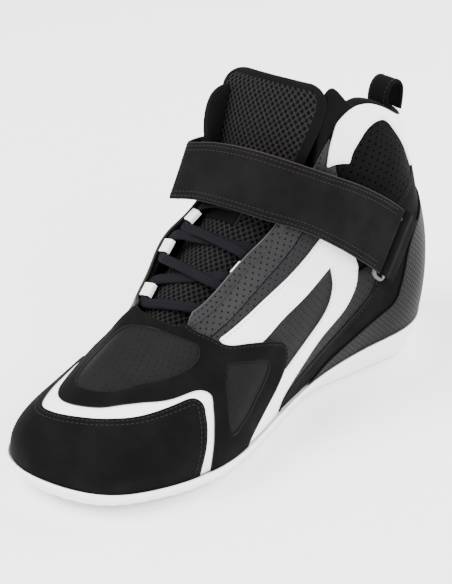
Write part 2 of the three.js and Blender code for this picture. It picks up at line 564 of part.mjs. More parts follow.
add('tongue_top', tongueBody(TONGUE_SPLIT + 0.0025, 1, 6, true), MESH);

// ---------------------------------------------------------------- lace loops and lace
const MEDIAL_LOOPS = [13.85, 12.95, 12.1];
const LATERAL_LOOPS = [2.75, 3.6, 4.35];
function edgeFrame(k, side) {
  const p = form(k, 1);
  const e = form(k + 0.1, 1).sub(form(k - 0.1, 1)).normalize();
  if (e.z < 0) e.negate();
  const c = new THREE.Vector3(side, 0, 0);
  c.addScaledVector(e, -c.dot(e)).normalize();
  const n = e.clone().cross(c).normalize();
  if (n.z < 0) n.negate();
  return { p, e, c, n };
}
const LOOP_REACH = 5.4;
const LOOP_RISE = 0.6;
const LOOP_LENGTH = 8;
function loopAt(k, side) {
  const f = edgeFrame(k, side);
  const centre = f.p.clone().addScaledVector(f.c, LOOP_REACH).addScaledVector(f.n, LOOP_RISE);
  return { ...f, centre };
}
function loopSolid(k, side) {
  const f = loopAt(k, side);
  const a = LACE_WIDTH / 2 + 0.5;
  const b = LACE_THICK / 2 + 0.5;
  const w = LOOP_WALL;
  const rounded = (x, y) => [[x, -y * 0.45], [x, y * 0.45], [x * 0.7, y], [-x * 0.7, y], [-x, y * 0.45],
    [-x, -y * 0.45], [-x * 0.7, -y], [x * 0.7, -y]];
  const outer = rounded(a + w, b + w);
  outer.splice(4, 2, [-a - w, 0.5], [-a - w - 2.2, 0.5], [-a - w - 2.2, -0.5], [-a - w, -0.5]);
  const m = prism(outer, [rounded(a, b)], -LOOP_LENGTH / 2, LOOP_LENGTH / 2);
  const basisZ = f.e;
  const basisX = f.c;
  const basisY = basisZ.clone().cross(basisX);
  return fromManifold(m, (p) => f.centre.clone().addScaledVector(basisX, p.x).addScaledVector(basisY, p.y)
    .addScaledVector(basisZ, p.z));
}
MEDIAL_LOOPS.forEach((k, i) => add(`lace_loop_medial_${i + 1}`, loopSolid(k, 1), WEBBING));
LATERAL_LOOPS.forEach((k, i) => add(`lace_loop_lateral_${i + 1}`, loopSolid(k, -1), WEBBING));
{
  const m = MEDIAL_LOOPS.map((k) => loopAt(k, 1));
  const l = LATERAL_LOOPS.map((k) => loopAt(k, -1));
  const path = [];
  const put = (p, n) => path.push([p, n]);
  const through = (f, up) => {
    const d = up ? 1 : -1;
    for (const s of [-6.2, -3, 3, 6.2]) put(f.centre.clone().addScaledVector(f.e, s * d), f.n);
  };
  const cross = (from, to, fromUp, toUp, high) => {
    const a = from.centre.clone().addScaledVector(from.e, fromUp ? 8.2 : -8.2).addScaledVector(from.c, 4.4);
    const b = to.centre.clone().addScaledVector(to.e, toUp ? 8.2 : -8.2).addScaledVector(to.c, 4.4);
    const n = from.n.clone().add(to.n).normalize();
    put(a.clone().addScaledVector(n, high * 0.4), n);
    for (const f of [0.35, 0.5, 0.65]) put(a.clone().lerp(b, f).addScaledVector(n, high), n);
    put(b.clone().addScaledVector(n, high * 0.4), n);
  };
  const tail = (f, side, s0, s1) => {
    const a = f.centre.clone().addScaledVector(f.e, 8.4).addScaledVector(f.c, 4.2);
    put(a.addScaledVector(f.n, 1.4), f.n);
    const n = f.n.clone();
    for (let i = 1; i <= 4; i += 1) {
      const r = side * (0.62 - 0.3 * i);
      put(tongueAt(s0 + ((s1 - s0) * i) / 4, r, 4.2), n);
    }
  };
  const half = [];
  // medial end, tail first
  tail(m[2], -1, 0.585, 0.6);
  half.push(...path.splice(0).reverse());
  path.push(...half);
  through(m[2], false);
  cross(m[2], l[1], false, true, 2.6);
  through(l[1], false);
  cross(l[1], m[0], false, true, -0.9);
  through(m[0], false);
  cross(m[0], l[0], false, false, 0.8);
  through(l[0], true);
  cross(l[0], m[1], true, false, 2.6);
  through(m[1], true);
  cross(m[1], l[2], true, false, -0.9);
  through(l[2], true);
  tail(l[2], 1, 0.68, 0.69);
  const curve = new THREE.CatmullRomCurve3(path.map((q) => q[0]), false, 'centripetal');
  const normals = new THREE.CatmullRomCurve3(path.map((q) => q[1]), false, 'centripetal');
  const rings = [];
  const steps = path.length * 2;
  const sides = 6;
  const profile = [];
  for (let j = 0; j < sides; j += 1) {
    const a = (j / sides) * Math.PI * 2;
    profile.push([Math.cos(a) * LACE_WIDTH / 2, Math.sin(a) * LACE_THICK / 2]);
  }
  for (let i = 0; i <= steps; i += 1) {
    const p = curve.getPoint(i / steps);
    const tan = curve.getTangent(i / steps);
    const up = normals.getPoint(i / steps);
    up.addScaledVector(tan, -up.dot(tan)).normalize();
    const side = tan.clone().cross(up).normalize();
    rings.push(profile.map(([x, y]) => p.clone().addScaledVector(side, x).addScaledVector(up, y)));
  }
  add('lace', swept(rings, profile), CORD);
}

// ---------------------------------------------------------------- strap, ring and anchors
const STRAP_TOP = [[-48.5, 40, 151], [-48, 16, 156.6], [-40, -0.6, 161], [-21, 1.6, 166], [6, 3.7, 169.6],
  [24.5, 14.8, 165], [35, 35.5, 153.7], [41.5, 59.5, 140], [45, 82, 124.2], [47, 95, 113]].map(at);
const STRAP_LOW = [[-50, 28, 116], [-49, 8, 121], [-45, -12, 127], [-24, -11.5, 133], [2, -8, 135],
  [20, -2.5, 133.4], [33, 19.5, 122], [41, 39, 108], [45.5, 61.5, 89.6], [48, 73, 79]].map(at);
const topEdge = new THREE.CatmullRomCurve3(STRAP_TOP, false, 'centripetal');
const lowEdge = new THREE.CatmullRomCurve3(STRAP_LOW, false, 'centripetal');
function strapFrame(s) {
  const a = topEdge.getPoint(s);
  const b = lowEdge.getPoint(s);
  const along2 = topEdge.getTangent(s).add(lowEdge.getTangent(s)).normalize();
  const wide = b.clone().sub(a).normalize();
  const n = along2.clone().cross(wide).normalize();
  return { a, b, along: along2, n: n.negate() };
}
const STRAP_STEPS = 36;
const FOLD_S = 0.965;
const TIP_S = 14.5 / STRAP_STEPS;
const T = STRAP_THICK;
function stations(s0, s1) {
  const list = [s0];
  for (let i = 0; i <= STRAP_STEPS; i += 1) {
    const s = i / STRAP_STEPS;
    if (s > s0 + 0.008 && s < s1 - 0.008) list.push(s);
  }
  return [...list, s1];
}
function bandRing(f, u, high, low, inset) {
  const cut = f.b.clone().sub(f.a).normalize().multiplyScalar(inset);
  const a = f.a.clone().add(cut).addScaledVector(f.along, u);
  const b = f.b.clone().sub(cut).addScaledVector(f.along, u);
  return [a.clone().addScaledVector(f.n, high), b.clone().addScaledVector(f.n, high),
    b.clone().addScaledVector(f.n, low), a.clone().addScaledVector(f.n, low)];
}
const BAND = [[0, 1], [36, 1], [36, 0], [0, 0]];
function strip(s0, s1, high, low, inset, rounded) {
  const list = stations(s0, s1);
  const rings = list.map((s) => bandRing(strapFrame(s), 0, high(s), low(s), inset));
  const blunt = (s, u) => {
    const f = strapFrame(s);
    const m = (high(s) + low(s)) / 2;
    const half = (high(s) - low(s)) * 0.22;
    return bandRing(f, u, m + half, m - half, inset);
  };
  if (rounded === 'start') rings.unshift(blunt(s0, -T * 0.4));
  if (rounded === 'end') rings.push(blunt(s1, T * 0.4));
  return swept(rings, BAND, false, 2);
}
// the lower run dips under the closure patches and again to pass round the ring bar
const BAR_N = -T - 0.4 - RING_BAR / 2;
function underTop(s) {
  const patch = -4.0 * Math.min(1, Math.max(0, (0.56 - s) / 0.08));
  const level = Math.min(-T - 0.6, patch);
  const turn = Math.min(1, Math.max(0, (s - 0.8) / 0.15));
  return level + (BAR_N - RING_BAR / 2 - 0.4 - level) * turn * turn * (3 - 2 * turn);
}
{
  add('strap_flap', strip(TIP_S + 0.01, FOLD_S - 0.012, () => 0, () => -T, 0, 'end'), NUBUCK);
  add('strap_tip', strip(0.0, TIP_S, () => 0, () => -T, 0, 'end'), NUBUCK);
  add('hook_patch', strip(1 / STRAP_STEPS, 8 / STRAP_STEPS, () => -T - 0.3, () => -T - 0.9, 4), KNIT);
  add('loop_patch', strip(3 / STRAP_STEPS, 16 / STRAP_STEPS, () => -T - 1.4, () => -T - 2.1, 4), KNIT);
  const f = strapFrame(FOLD_S);
  const rings = stations(2 / STRAP_STEPS, 34 / STRAP_STEPS).map((s) => bandRing(strapFrame(s), 0, underTop(s), underTop(s) - T, 1));
  const inner = RING_BAR / 2 + 0.4;
  for (let i = 0; i <= 6; i += 1) {
    const a = -Math.PI / 2 + (Math.PI * i) / 6;
    const [c, d] = [Math.cos(a), Math.sin(a)];
    const near = bandRing(f, c * inner, BAR_N + d * inner, BAR_N + d * inner, 1);
    const far = bandRing(f, c * (inner + T), BAR_N + d * (inner + T), BAR_N + d * (inner + T), 1);
    rings.push([near[0], near[1], far[1], far[0]]);
  }
  add('strap_under', swept(rings, BAND, false, 2), NUBUCK);

  // rectangular ring: front bar in the strap fold, rear bar in its anchor tab
  const w = f.b.clone().sub(f.a).normalize();
  const length = f.b.distanceTo(f.a);
  const place = (u, v, n) => f.a.clone().addScaledVector(f.along, u).addScaledVector(w, v).addScaledVector(f.n, n);
  const DEEP = 9;
  const corner = 2.4;
  const path = [];
  const corners = [[0, -2.6], [DEEP, -2.6], [DEEP, length + 2.6], [0, length + 2.6]];
  corners.forEach(([u, v], i) => {
    const [pu, pv] = corners[(i + 3) % 4];
    const [nu, nv] = corners[(i + 1) % 4];
    const back = [Math.sign(pu - u) * corner, Math.sign(pv - v) * corner];
    const on = [Math.sign(nu - u) * corner, Math.sign(nv - v) * corner];
    path.push([u + back[0], v + back[1]]);
    path.push([u + (back[0] + on[0]) * 0.3, v + (back[1] + on[1]) * 0.3]);
    path.push([u + on[0], v + on[1]]);
  });
  const centre = place(DEEP / 2, length / 2, BAR_N);
  const loops = path.map(([u, v], i) => {
    const p = place(u, v, BAR_N);
    const before = place(...path[(i + path.length - 1) % path.length], BAR_N);
    const after = place(...path[(i + 1) % path.length], BAR_N);
    const tan = after.sub(before).normalize();
    const side = tan.clone().cross(f.n).normalize();
    const list = [];
    for (let j = 0; j < 8; j += 1) {
      const a = (j / 8) * Math.PI * 2;
      list.push(p.clone().addScaledVector(side, Math.cos(a) * RING_BAR / 2)
        .addScaledVector(f.n, Math.sin(a) * RING_BAR / 2));
    }
    return list;
  });
  add('strap_ring', swept(loops, null, true), STEEL);
  const r = RING_BAR / 2 + 0.35;
  const circle = [];
  for (let j = 0; j < 10; j += 1) {
    circle.push([DEEP + Math.cos(j * 0.2 * Math.PI) * r, BAR_N + Math.sin(j * 0.2 * Math.PI) * r]);
  }
  const shell = [];
  for (let j = 0; j <= 6; j += 1) {
    const a = Math.PI / 2 + (j / 6) * Math.PI;
    shell.push([DEEP + Math.cos(a) * (r + 1.3), BAR_N + Math.sin(a) * (r + 1.3)]);
  }
  shell.push([DEEP + 13, BAR_N - r - 1.3 - 0.6], [DEEP + 13, BAR_N - r + 0.6], [DEEP + 6, BAR_N + r * 0.3]);
  const tab = prism(shell, [circle], 1, length - 1);
  add('ring_anchor', fromManifold(tab, (p) => place(p.x, p.z, p.y)), NUBUCK);
}

// ---------------------------------------------------------------- pull loop
{
  add('pull_loop_tab', panel(outline([[7.76, 0.82], [8.24, 0.82]], [[8.24, 0.82], [8.24, 0.972]],
    [[8.24, 0.972], [7.76, 0.972]], [[7.76, 0.972], [7.76, 0.82]]), [], PLY_3), NUBUCK);
  const top = form(8, 1);
  const line = [[2.3, -2.6], [2.8, 1], [3.2, 6], [2.6, 12], [-1, 16.2], [-6, 16.6], [-10, 13.5], [-11.5, 8.5]]
    .map(([y, z]) => new THREE.Vector3(top.x, top.y + y, top.z + z));
  const curve = new THREE.CatmullRomCurve3(line, false, 'centripetal');
  const rings = [];
  for (let i = 0; i <= 16; i += 1) {
    const p = curve.getPoint(i / 16);
    const tan = curve.getTangent(i / 16);
    const n = new THREE.Vector3(0, tan.z, -tan.y);
    const half = i === 0 ? 0.25 : 0.8;
    rings.push([[-1, -1], [1, -1], [1, 1], [-1, 1]].map(([x, h]) => p.clone()
      .add(new THREE.Vector3((x * PULL_LOOP_WIDTH) / 2, 0, 0)).addScaledVector(n, h * half)));
  }
  add('pull_loop', swept(rings, [[-1, -1], [1, -1], [1, 1], [-1, 1]]), NUBUCK);
}

// ---------------------------------------------------------------- tongue patch
{
  const rings = [];
  for (let i = 0; i <= 5; i += 1) {
    const s = 0.53 + i * 0.034;
    const rs = [-0.72, -0.48, -0.24, 0, 0.24];
    rings.push([...rs.map((r) => tongueAt(s, r, 1.5)), ...rs.slice().reverse().map((r) => tongueAt(s, r, 0.6))]);
  }
  const flat = [-20, -13, -7, 0, 7];
  add('tongue_patch', swept(rings, [...flat.map((x) => [x, 1]), ...flat.slice().reverse().map((x) => [x, 0])]), NUBUCK);
}
shoe.userData.up = 'z';
export default shoe;
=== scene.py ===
"""High-top riding shoe, left foot: looks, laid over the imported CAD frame.

The upper is lasted: each panel is cut in a flat pattern space (k = station round the foot,
t = height from the feather line to the top line) and wrapped on the foot form at its ply.
"""

import logging
import math
from dataclasses import dataclass, field, replace
from enum import Enum

import bpy
import numpy as np
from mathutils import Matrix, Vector
from mathutils.geometry import delaunay_2d_cdt
from numpy.typing import ArrayLike

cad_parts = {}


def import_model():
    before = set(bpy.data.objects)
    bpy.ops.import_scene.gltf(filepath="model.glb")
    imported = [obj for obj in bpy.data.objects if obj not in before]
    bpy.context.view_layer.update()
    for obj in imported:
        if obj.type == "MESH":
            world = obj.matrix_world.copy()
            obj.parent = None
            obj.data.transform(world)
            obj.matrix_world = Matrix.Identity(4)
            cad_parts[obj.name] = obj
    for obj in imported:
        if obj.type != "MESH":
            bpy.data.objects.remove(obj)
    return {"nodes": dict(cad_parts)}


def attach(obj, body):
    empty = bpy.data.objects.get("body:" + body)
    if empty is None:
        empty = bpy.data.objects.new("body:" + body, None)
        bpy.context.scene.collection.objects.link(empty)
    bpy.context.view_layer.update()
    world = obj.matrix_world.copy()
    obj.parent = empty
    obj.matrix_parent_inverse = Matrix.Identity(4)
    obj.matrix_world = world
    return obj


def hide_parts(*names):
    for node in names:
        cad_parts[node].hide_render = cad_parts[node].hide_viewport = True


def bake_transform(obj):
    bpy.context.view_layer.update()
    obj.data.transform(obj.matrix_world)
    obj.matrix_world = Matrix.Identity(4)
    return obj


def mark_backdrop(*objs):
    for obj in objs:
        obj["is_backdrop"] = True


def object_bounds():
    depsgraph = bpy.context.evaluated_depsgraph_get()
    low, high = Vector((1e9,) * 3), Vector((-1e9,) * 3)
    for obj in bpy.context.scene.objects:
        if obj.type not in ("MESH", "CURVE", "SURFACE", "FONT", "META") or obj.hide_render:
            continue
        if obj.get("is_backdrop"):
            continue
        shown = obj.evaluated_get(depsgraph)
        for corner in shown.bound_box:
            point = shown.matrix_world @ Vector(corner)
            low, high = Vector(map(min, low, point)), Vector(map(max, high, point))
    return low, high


LOG = logging.getLogger("shoe")
MM = 0.001
Points = list[tuple[float, float]]
Color = tuple[float, float, float]
STATIONS = 16

FORM_ROWS = (
    ((-15, -150, 19), (22, -136, 16.3), (42, -106, 13.2), (50, -62, 11), (42, -16, 12), (32, 32, 14.5),
     (36, 82, 20), (36, 124, 22.5), (2, 150, 24), (-30, 124, 22.5), (-33, 82, 20), (-28, 32, 14.5),
     (-35, -16, 12), (-48, -68, 11), (-51, -109, 13.4), (-42, -138, 16.7)),
    ((-13, -147, 37), (24, -134, 34), (43, -106, 32), (52, -60, 34), (46, -14, 38), (38, 34, 44),
     (39, 82, 52), (38, 126, 53), (2, 154, 55), (-33, 126, 53), (-36, 82, 52), (-36, 32, 44),
     (-44, -16, 38), (-51, -66, 34), (-49, -107, 33), (-37, -135, 36)),
    ((-11, -124, 54), (18, -114, 51), (36, -92, 50), (45, -54, 54), (41, -10, 63), (36, 32, 76),
     (36, 79, 90), (35.5, 122, 92), (1, 147, 94), (-34, 120, 92), (-37, 76, 90), (-41, 30, 76),
     (-46, -12, 63), (-46, -58, 54), (-42, -92, 48), (-29, -113, 51)),
    ((-9, -90, 66), (12, -84, 64), (26, -71, 64), (34, -42, 73), (34, -6, 88), (31, 29, 106.5),
     (33, 69, 129.5), (32, 112, 130), (1, 136, 134), (-33, 108, 130), (-39, 60, 130), (-42, 22, 107),
     (-44, -12, 88), (-40, -46, 72), (-35, -70, 64), (-23, -85, 65)),
    ((-12, -60, 85), (4, -59, 85), (13, -53, 86), (18, -36, 95), (20, -11, 111), (22, 21, 133),
     (30.5, 57.5, 183), (27, 106, 166), (0, 130, 158), (-29, 104, 157), (-39, 27, 180), (-34, 5, 137),
     (-37, -20, 113), (-34, -39, 97), (-31, -52, 86), (-24, -58, 85)),
)


class Ply(Enum):
    """Depth range of one ply about the foot form, in mm."""

    LINING = (-4.8, -2.7)
    FIRST = (-2.4, -1.3)
    SECOND = (-1.0, 0.0)
    THIRD = (0.3, 1.3)


class Pattern(Enum):
    """Surface patterns a finish can have, named as the method that paints each."""

    NUBUCK = "nubuck"
    GRAIN = "grain"
    PERFORATED = "perforated"
    PRICKED = "pricked"
    EMBOSSED = "embossed"
    KNIT = "knit"
    SPACER = "spacer"
    BRAID = "braid"
    WEBBING = "webbing"
    RUBBER = "rubber"
    METAL = "metal"
    FIBRE = "fibre"


@dataclass(frozen=True)
class Finish:
    """Colour and surface of one material.

    Attributes:
        name: material name.
        color: linear base colour.
        roughness: surface roughness.
        pattern: how the surface is painted.
        metallic: 1 for metal.
        specular: reflection level.
        pitch: distance between holes along and across, in mm.
        hole: size of a hole along and across, in mm.
        upper: base colour high on the shoe, where it differs.
        upper_from: height in mm above the feather line where it starts.
    """

    name: str
    color: Color
    roughness: float
    pattern: Pattern
    metallic: float = 0.0
    specular: float = 0.3
    pitch: tuple[float, float] = (4.1, 2.05)
    hole: tuple[float, float] = (1.2, 1.2)
    upper: Color | None = None
    upper_from: float = 0.0


NUBUCK = Finish("nubuck", (0.0028, 0.0026, 0.0027), 0.85, Pattern.NUBUCK, specular=0.04)
# Painted light: a lighter copy of the nubuck for the strap flap's upward face; the strap's lower run keeps
# the plain nubuck.
LIT_STRAP_NUBUCK = Finish("strap_nubuck_painted_light", (0.0042, 0.0039, 0.004), 0.85, Pattern.NUBUCK, specular=0.04)
CUT_EDGE = Finish("cut_edge", (0.036, 0.029, 0.024), 0.9, Pattern.FIBRE, specular=0.1)
GREY_EDGE = Finish("grey_edge", (0.085, 0.082, 0.085), 0.85, Pattern.FIBRE, specular=0.1)
PERFORATED = Finish("perforated_leather", (0.0088, 0.008, 0.0088), 0.48, Pattern.PERFORATED, specular=0.16,
                    pitch=(5.2, 2.7), hole=(1.1, 1.1))
QUARTER = Finish("quarter_leather", (0.0034, 0.003, 0.0033), 0.55, Pattern.PERFORATED, specular=0.1,
                 pitch=(5.2, 2.7), hole=(0.9, 0.9), upper=(0.0105, 0.0095, 0.0105), upper_from=69.0)
FLEX = Finish("flex_leather", (0.005, 0.0046, 0.005), 0.75, Pattern.PRICKED, specular=0.07,
              pitch=(5.2, 3.3), hole=(0.8, 0.8))
ANKLE = Finish("ankle_leather", (0.0022, 0.002, 0.0022), 0.75, Pattern.PERFORATED, specular=0.03,
               pitch=(7.0, 3.6), hole=(1.9, 1.5))
WHITE = Finish("white_leather", (0.91, 0.91, 0.93), 0.42, Pattern.GRAIN)
EMBOSSED = Finish("embossed_heel", (0.0028, 0.0025, 0.003), 0.42, Pattern.EMBOSSED, specular=0.12)
KNIT = Finish("knit", (0.0028, 0.0027, 0.003), 0.95, Pattern.KNIT, specular=0.05)
GREY_KNIT = Finish("grey_knit", (0.008, 0.0074, 0.0076), 0.95, Pattern.KNIT, specular=0.05)
SPACER = Finish("spacer_mesh", (0.0054, 0.005, 0.005), 0.8, Pattern.SPACER, specular=0.08,
                pitch=(3.5, 2.25), hole=(1.8, 2.5))
CORD = Finish("lace_cord", (0.0024, 0.0023, 0.0036), 0.85, Pattern.BRAID, specular=0.1)
WEBBING = Finish("webbing", (0.80, 0.81, 0.83), 0.8, Pattern.WEBBING, specular=0.2)
RUBBER = Finish("outsole", (0.90, 0.89, 0.88), 0.5, Pattern.RUBBER)
STEEL = Finish("steel", (0.09, 0.09, 0.095), 0.3, Pattern.METAL, metallic=1.0)
LIGHT_THREAD = Finish("light_thread", (0.42, 0.41, 0.41), 0.6, Pattern.FIBRE, specular=0.2)
BOARD = Finish("board", (0.30, 0.24, 0.18), 0.9, Pattern.FIBRE, specular=0.2)
THREAD = Finish("thread", (0.018, 0.017, 0.0165), 0.6, Pattern.FIBRE, specular=0.1)


# ------------------------------------------------------------------ materials
class Paint:
    """Builds one shader graph out of small maths nodes."""

    def __init__(self, finish: Finish) -> None:
        self.finish = finish
        self.material = bpy.data.materials.new(finish.name)
        self.material.use_nodes = True
        self.tree = self.material.node_tree
        self.shader = self.tree.nodes["Principled BSDF"]

    def node(self, kind: str, **inputs):
        """Adds a node and sets or links its inputs by name.

        Args:
            kind: node type, as bpy names it.
            **inputs: value or socket per input name, with _ for a space.

        Returns:
            The new node.
        """
        made = self.tree.nodes.new(kind)
        for name, value in inputs.items():
            self.feed(made.inputs[name.replace("_", " ")], value)
        return made

    def feed(self, socket, value) -> None:
        """Links a socket, or sets its value."""
        if hasattr(value, "is_output"):
            self.tree.links.new(value, socket)
        else:
            socket.default_value = value

    def maths(self, operation: str, *values):
        """A maths node's output."""
        made = self.tree.nodes.new("ShaderNodeMath")
        made.operation = operation
        for socket, value in zip(made.inputs, values):
            self.feed(socket, value)
        return made.outputs[0]

    def uv_mm(self):
        """The pattern coordinates as two sockets in millimetres."""
        uv = self.tree.nodes.new("ShaderNodeUVMap")
        uv.uv_map = "pattern"
        split = self.node("ShaderNodeSeparateXYZ", Vector=uv.outputs[0])
        return tuple(self.maths("MULTIPLY", split.outputs[i], 100.0) for i in range(2))

    def noise(self, scale: float, detail: float = 2.0):
        """Noise in object space; scale is in waves per metre."""
        where = self.tree.nodes.new("ShaderNodeTexCoord").outputs["Object"]
        return self.node("ShaderNodeTexNoise", Vector=where, Scale=scale, Detail=detail).outputs["Fac"]

    def cells(self, scale: float):
        """Distance to cell edges of a pebble grain in object space."""
        where = self.tree.nodes.new("ShaderNodeTexCoord").outputs["Object"]
        made = self.tree.nodes.new("ShaderNodeTexVoronoi")
        made.feature = "DISTANCE_TO_EDGE"
        self.feed(made.inputs["Vector"], where)
        self.feed(made.inputs["Scale"], scale)
        return made.outputs["Distance"]

    def step(self, value, low: float, high: float, out_low: float = 0.0, out_high: float = 1.0):
        """Smooth step between two values."""
        made = self.tree.nodes.new("ShaderNodeMapRange")
        made.interpolation_type = "SMOOTHSTEP"
        for socket, x in zip(made.inputs, (value, low, high, out_low, out_high)):
            self.feed(socket, x)
        return made.outputs[0]

    def dots(self, pitch: tuple[float, float], size: tuple[float, float], soft: float = 0.35):
        """Staggered round or oval dots: 1 inside, 0 outside."""
        u, v = self.uv_mm()
        row = self.maths("FLOOR", self.maths("DIVIDE", v, pitch[1]))
        odd = self.maths("MULTIPLY", self.maths("MODULO", self.maths("ABSOLUTE", row), 2.0), pitch[0] / 2)
        shifted = self.maths("ADD", u, odd)
        fu = self.maths("SUBTRACT", self.maths("FRACT", self.maths("DIVIDE", shifted, pitch[0])), 0.5)
        fv = self.maths("SUBTRACT", self.maths("FRACT", self.maths("DIVIDE", v, pitch[1])), 0.5)
        a = self.maths("DIVIDE", self.maths("MULTIPLY", fu, pitch[0]), size[0] / 2)
        b = self.maths("DIVIDE", self.maths("MULTIPLY", fv, pitch[1]), size[1] / 2)
        squares = self.maths("ADD", self.maths("MULTIPLY", a, a), self.maths("MULTIPLY", b, b))
        far = self.maths("SQRT", squares)
        return self.step(far, 1.0 - soft, 1.0 + soft, 1.0, 0.0)

    def waves(self, du: float, dv: float):
        """Sine of a diagonal line pattern, 0 to 1; du and dv are turns per mm."""
        u, v = self.uv_mm()
        along, across = self.maths("MULTIPLY", u, du * math.tau), self.maths("MULTIPLY", v, dv * math.tau)
        phase = self.maths("ADD", along, across)
        return self.maths("MULTIPLY_ADD", self.maths("SINE", phase), 0.5, 0.5)

    def tint(self, amount, other: Color, base=None):
        """Mixes the finish's colour towards another."""
        mix = self.tree.nodes.new("ShaderNodeMix")
        mix.data_type = "RGBA"
        self.feed(mix.inputs["Factor"], amount)
        colors = [s for s in mix.inputs if s.type == "RGBA"]
        self.feed(colors[0], base if base is not None else (*self.finish.color, 1.0))
        self.feed(colors[1], (*other, 1.0))
        return [s for s in mix.outputs if s.type == "RGBA"][0]

    def bump(self, height, distance_mm: float, strength: float = 1.0, under=None):
        """A bump node; distance is the height that 1 stands for."""
        made = self.node("ShaderNodeBump", Height=height, Strength=strength, Distance=distance_mm * MM)
        if under is not None:
            self.feed(made.inputs["Normal"], under)
        return made.outputs[0]

    def shade(self, factor: float) -> Color:
        """The finish's colour, made lighter or darker."""
        return tuple(min(1.0, c * factor) for c in self.finish.color)

    def roughen(self, value) -> None:
        """Links the roughness."""
        self.feed(self.shader.inputs["Roughness"], value)

    def build(self) -> bpy.types.Material:
        """Sets the shader and paints the finish's pattern."""
        finish, inputs = self.finish, self.shader.inputs
        inputs["Base Color"].default_value = (*finish.color, 1.0)
        inputs["Roughness"].default_value = finish.roughness
        inputs["Metallic"].default_value = finish.metallic
        inputs["Specular IOR Level"].default_value = finish.specular
        color, normal = getattr(self, finish.pattern.value)()
        if color is not None:
            self.feed(inputs["Base Color"], color)
        self.feed(inputs["Normal"], normal)
        return self.material

    def nubuck(self) -> tuple:
        """Napped leather with soft clouds."""
        cloud = self.noise(55.0, 3.0)
        rough = self.finish.roughness
        self.roughen(self.step(cloud, 0.3, 0.7, rough + 0.06, rough - 0.08))
        color = self.tint(self.step(cloud, 0.35, 0.75, 0.0, 0.55), self.shade(1.55))
        grain = self.bump(self.cells(1300.0), 0.08, 0.25)
        return color, self.bump(self.noise(2600.0, 3.0), 0.10, 0.5, grain)

    def grain(self) -> tuple:
        """Smooth coated leather with a pebble grain."""
        color = self.tint(self.step(self.noise(70.0), 0.4, 0.8, 0.0, 0.25), self.shade(0.93))
        return color, self.bump(self.cells(900.0), 0.06, 0.35, self.bump(self.noise(120.0, 3.0), 0.5, 0.25))

    def perforated(self) -> tuple:
        """Grained leather with rows of punched holes."""
        finish = self.finish
        hole = self.dots(finish.pitch, finish.hole)
        face = self.tint(self.step(self.noise(60.0, 3.0), 0.35, 0.75, 0.0, 0.5), self.shade(1.55))
        if finish.upper:
            high = self.step(self.uv_mm()[1], finish.upper_from, finish.upper_from + 2.0)
            face = self.tint(high, finish.upper, face)
        self.roughen(self.step(hole, 0.0, 1.0, finish.roughness, 1.0))
        grain = self.bump(self.cells(1500.0), 0.07, 0.5)
        return (self.tint(hole, self.shade(0.03), face),
                self.bump(self.maths("SUBTRACT", 1.0, hole), 0.5, 0.8, grain))

    def pricked(self) -> tuple:
        """Matt leather with scattered pin holes."""
        hole = self.dots(self.finish.pitch, self.finish.hole)
        face = self.tint(self.step(self.noise(60.0, 3.0), 0.35, 0.7, 0.0, 0.4), self.shade(1.55))
        grain = self.bump(self.noise(1900.0, 3.0), 0.10, 0.55, self.bump(self.cells(1100.0), 0.08, 0.3))
        return (self.tint(hole, self.shade(0.35), face),
                self.bump(self.maths("SUBTRACT", 1.0, hole), 0.35, 0.7, grain))

    def embossed(self) -> tuple:
        """Leather pressed with small lozenges, their raised tops painted lighter as a painted highlight."""
        rhomb = self.maths("MULTIPLY", self.waves(0.27, 0.27), self.waves(0.27, -0.27))
        self.roughen(self.step(rhomb, 0.1, 0.7, 0.62, 0.5))
        # Painted highlight: the colour lightens where the lozenges stand highest.
        return (self.tint(self.step(rhomb, 0.15, 0.7, 0.0, 0.85), self.shade(1.8)),
                self.bump(rhomb, 0.30, 0.7, self.bump(self.cells(1600.0), 0.04, 0.3)))

    def knit(self) -> tuple:
        """Fine ribbed knit."""
        rib = self.maths("MULTIPLY", self.waves(0.8, 0.35), self.waves(0.8, -0.35))
        return (self.tint(self.step(rib, 0.1, 0.8, 0.0, 0.8), self.shade(1.55)),
                self.bump(rib, 0.25, 0.7, self.bump(self.noise(1500.0), 0.1, 0.4)))

    def spacer(self) -> tuple:
        """Spacer mesh: black yarn round dark open cells, the yarn's crests painted lighter as a painted
        highlight.
        """
        hole = self.dots(self.finish.pitch, self.finish.hole, 0.28)
        yarn = self.maths("MULTIPLY", self.waves(0.9, 0.55), self.waves(0.9, -0.55))
        # Painted highlight: the yarn crests are tinted lighter than the black mesh.
        color = self.tint(hole, self.shade(0.05), self.tint(yarn, self.shade(5.0)))
        return color, self.bump(yarn, 0.22, 0.9)

    def braid(self) -> tuple:
        """Braided lace."""
        weave = self.maths("MULTIPLY", self.waves(0.62, 0.5), self.waves(0.62, -0.5))
        return (self.tint(self.step(weave, 0.1, 0.7, 0.0, 0.9), self.shade(2.6)),
                self.bump(weave, 0.22, 0.9, self.bump(self.noise(2500.0), 0.06, 0.4)))

    def webbing(self) -> tuple:
        """Plain woven tape."""
        weave = self.maths("MULTIPLY", self.waves(0.9, 0.0), self.waves(0.0, 0.7))
        return self.tint(self.step(weave, 0.0, 0.5, 0.25, 0.0), self.shade(0.7)), self.bump(weave, 0.15, 0.5)

    def rubber(self) -> tuple:
        """Moulded rubber, faintly clouded."""
        cloud = self.step(self.noise(35.0, 4.0), 0.4, 0.75, 0.0, 0.5)
        return self.tint(cloud, self.shade(0.94)), self.bump(self.noise(1400.0, 2.0), 0.05, 0.4)

    def metal(self) -> tuple:
        """Bare metal with slight unevenness."""
        return None, self.bump(self.noise(900.0, 2.0), 0.02, 0.3)

    def fibre(self) -> tuple:
        """Loose fibres, as on a cut edge or a thread."""
        color = self.tint(self.noise(1800.0, 3.0), self.shade(0.35))
        return color, self.bump(self.noise(2200.0, 3.0), 0.1, 0.6)


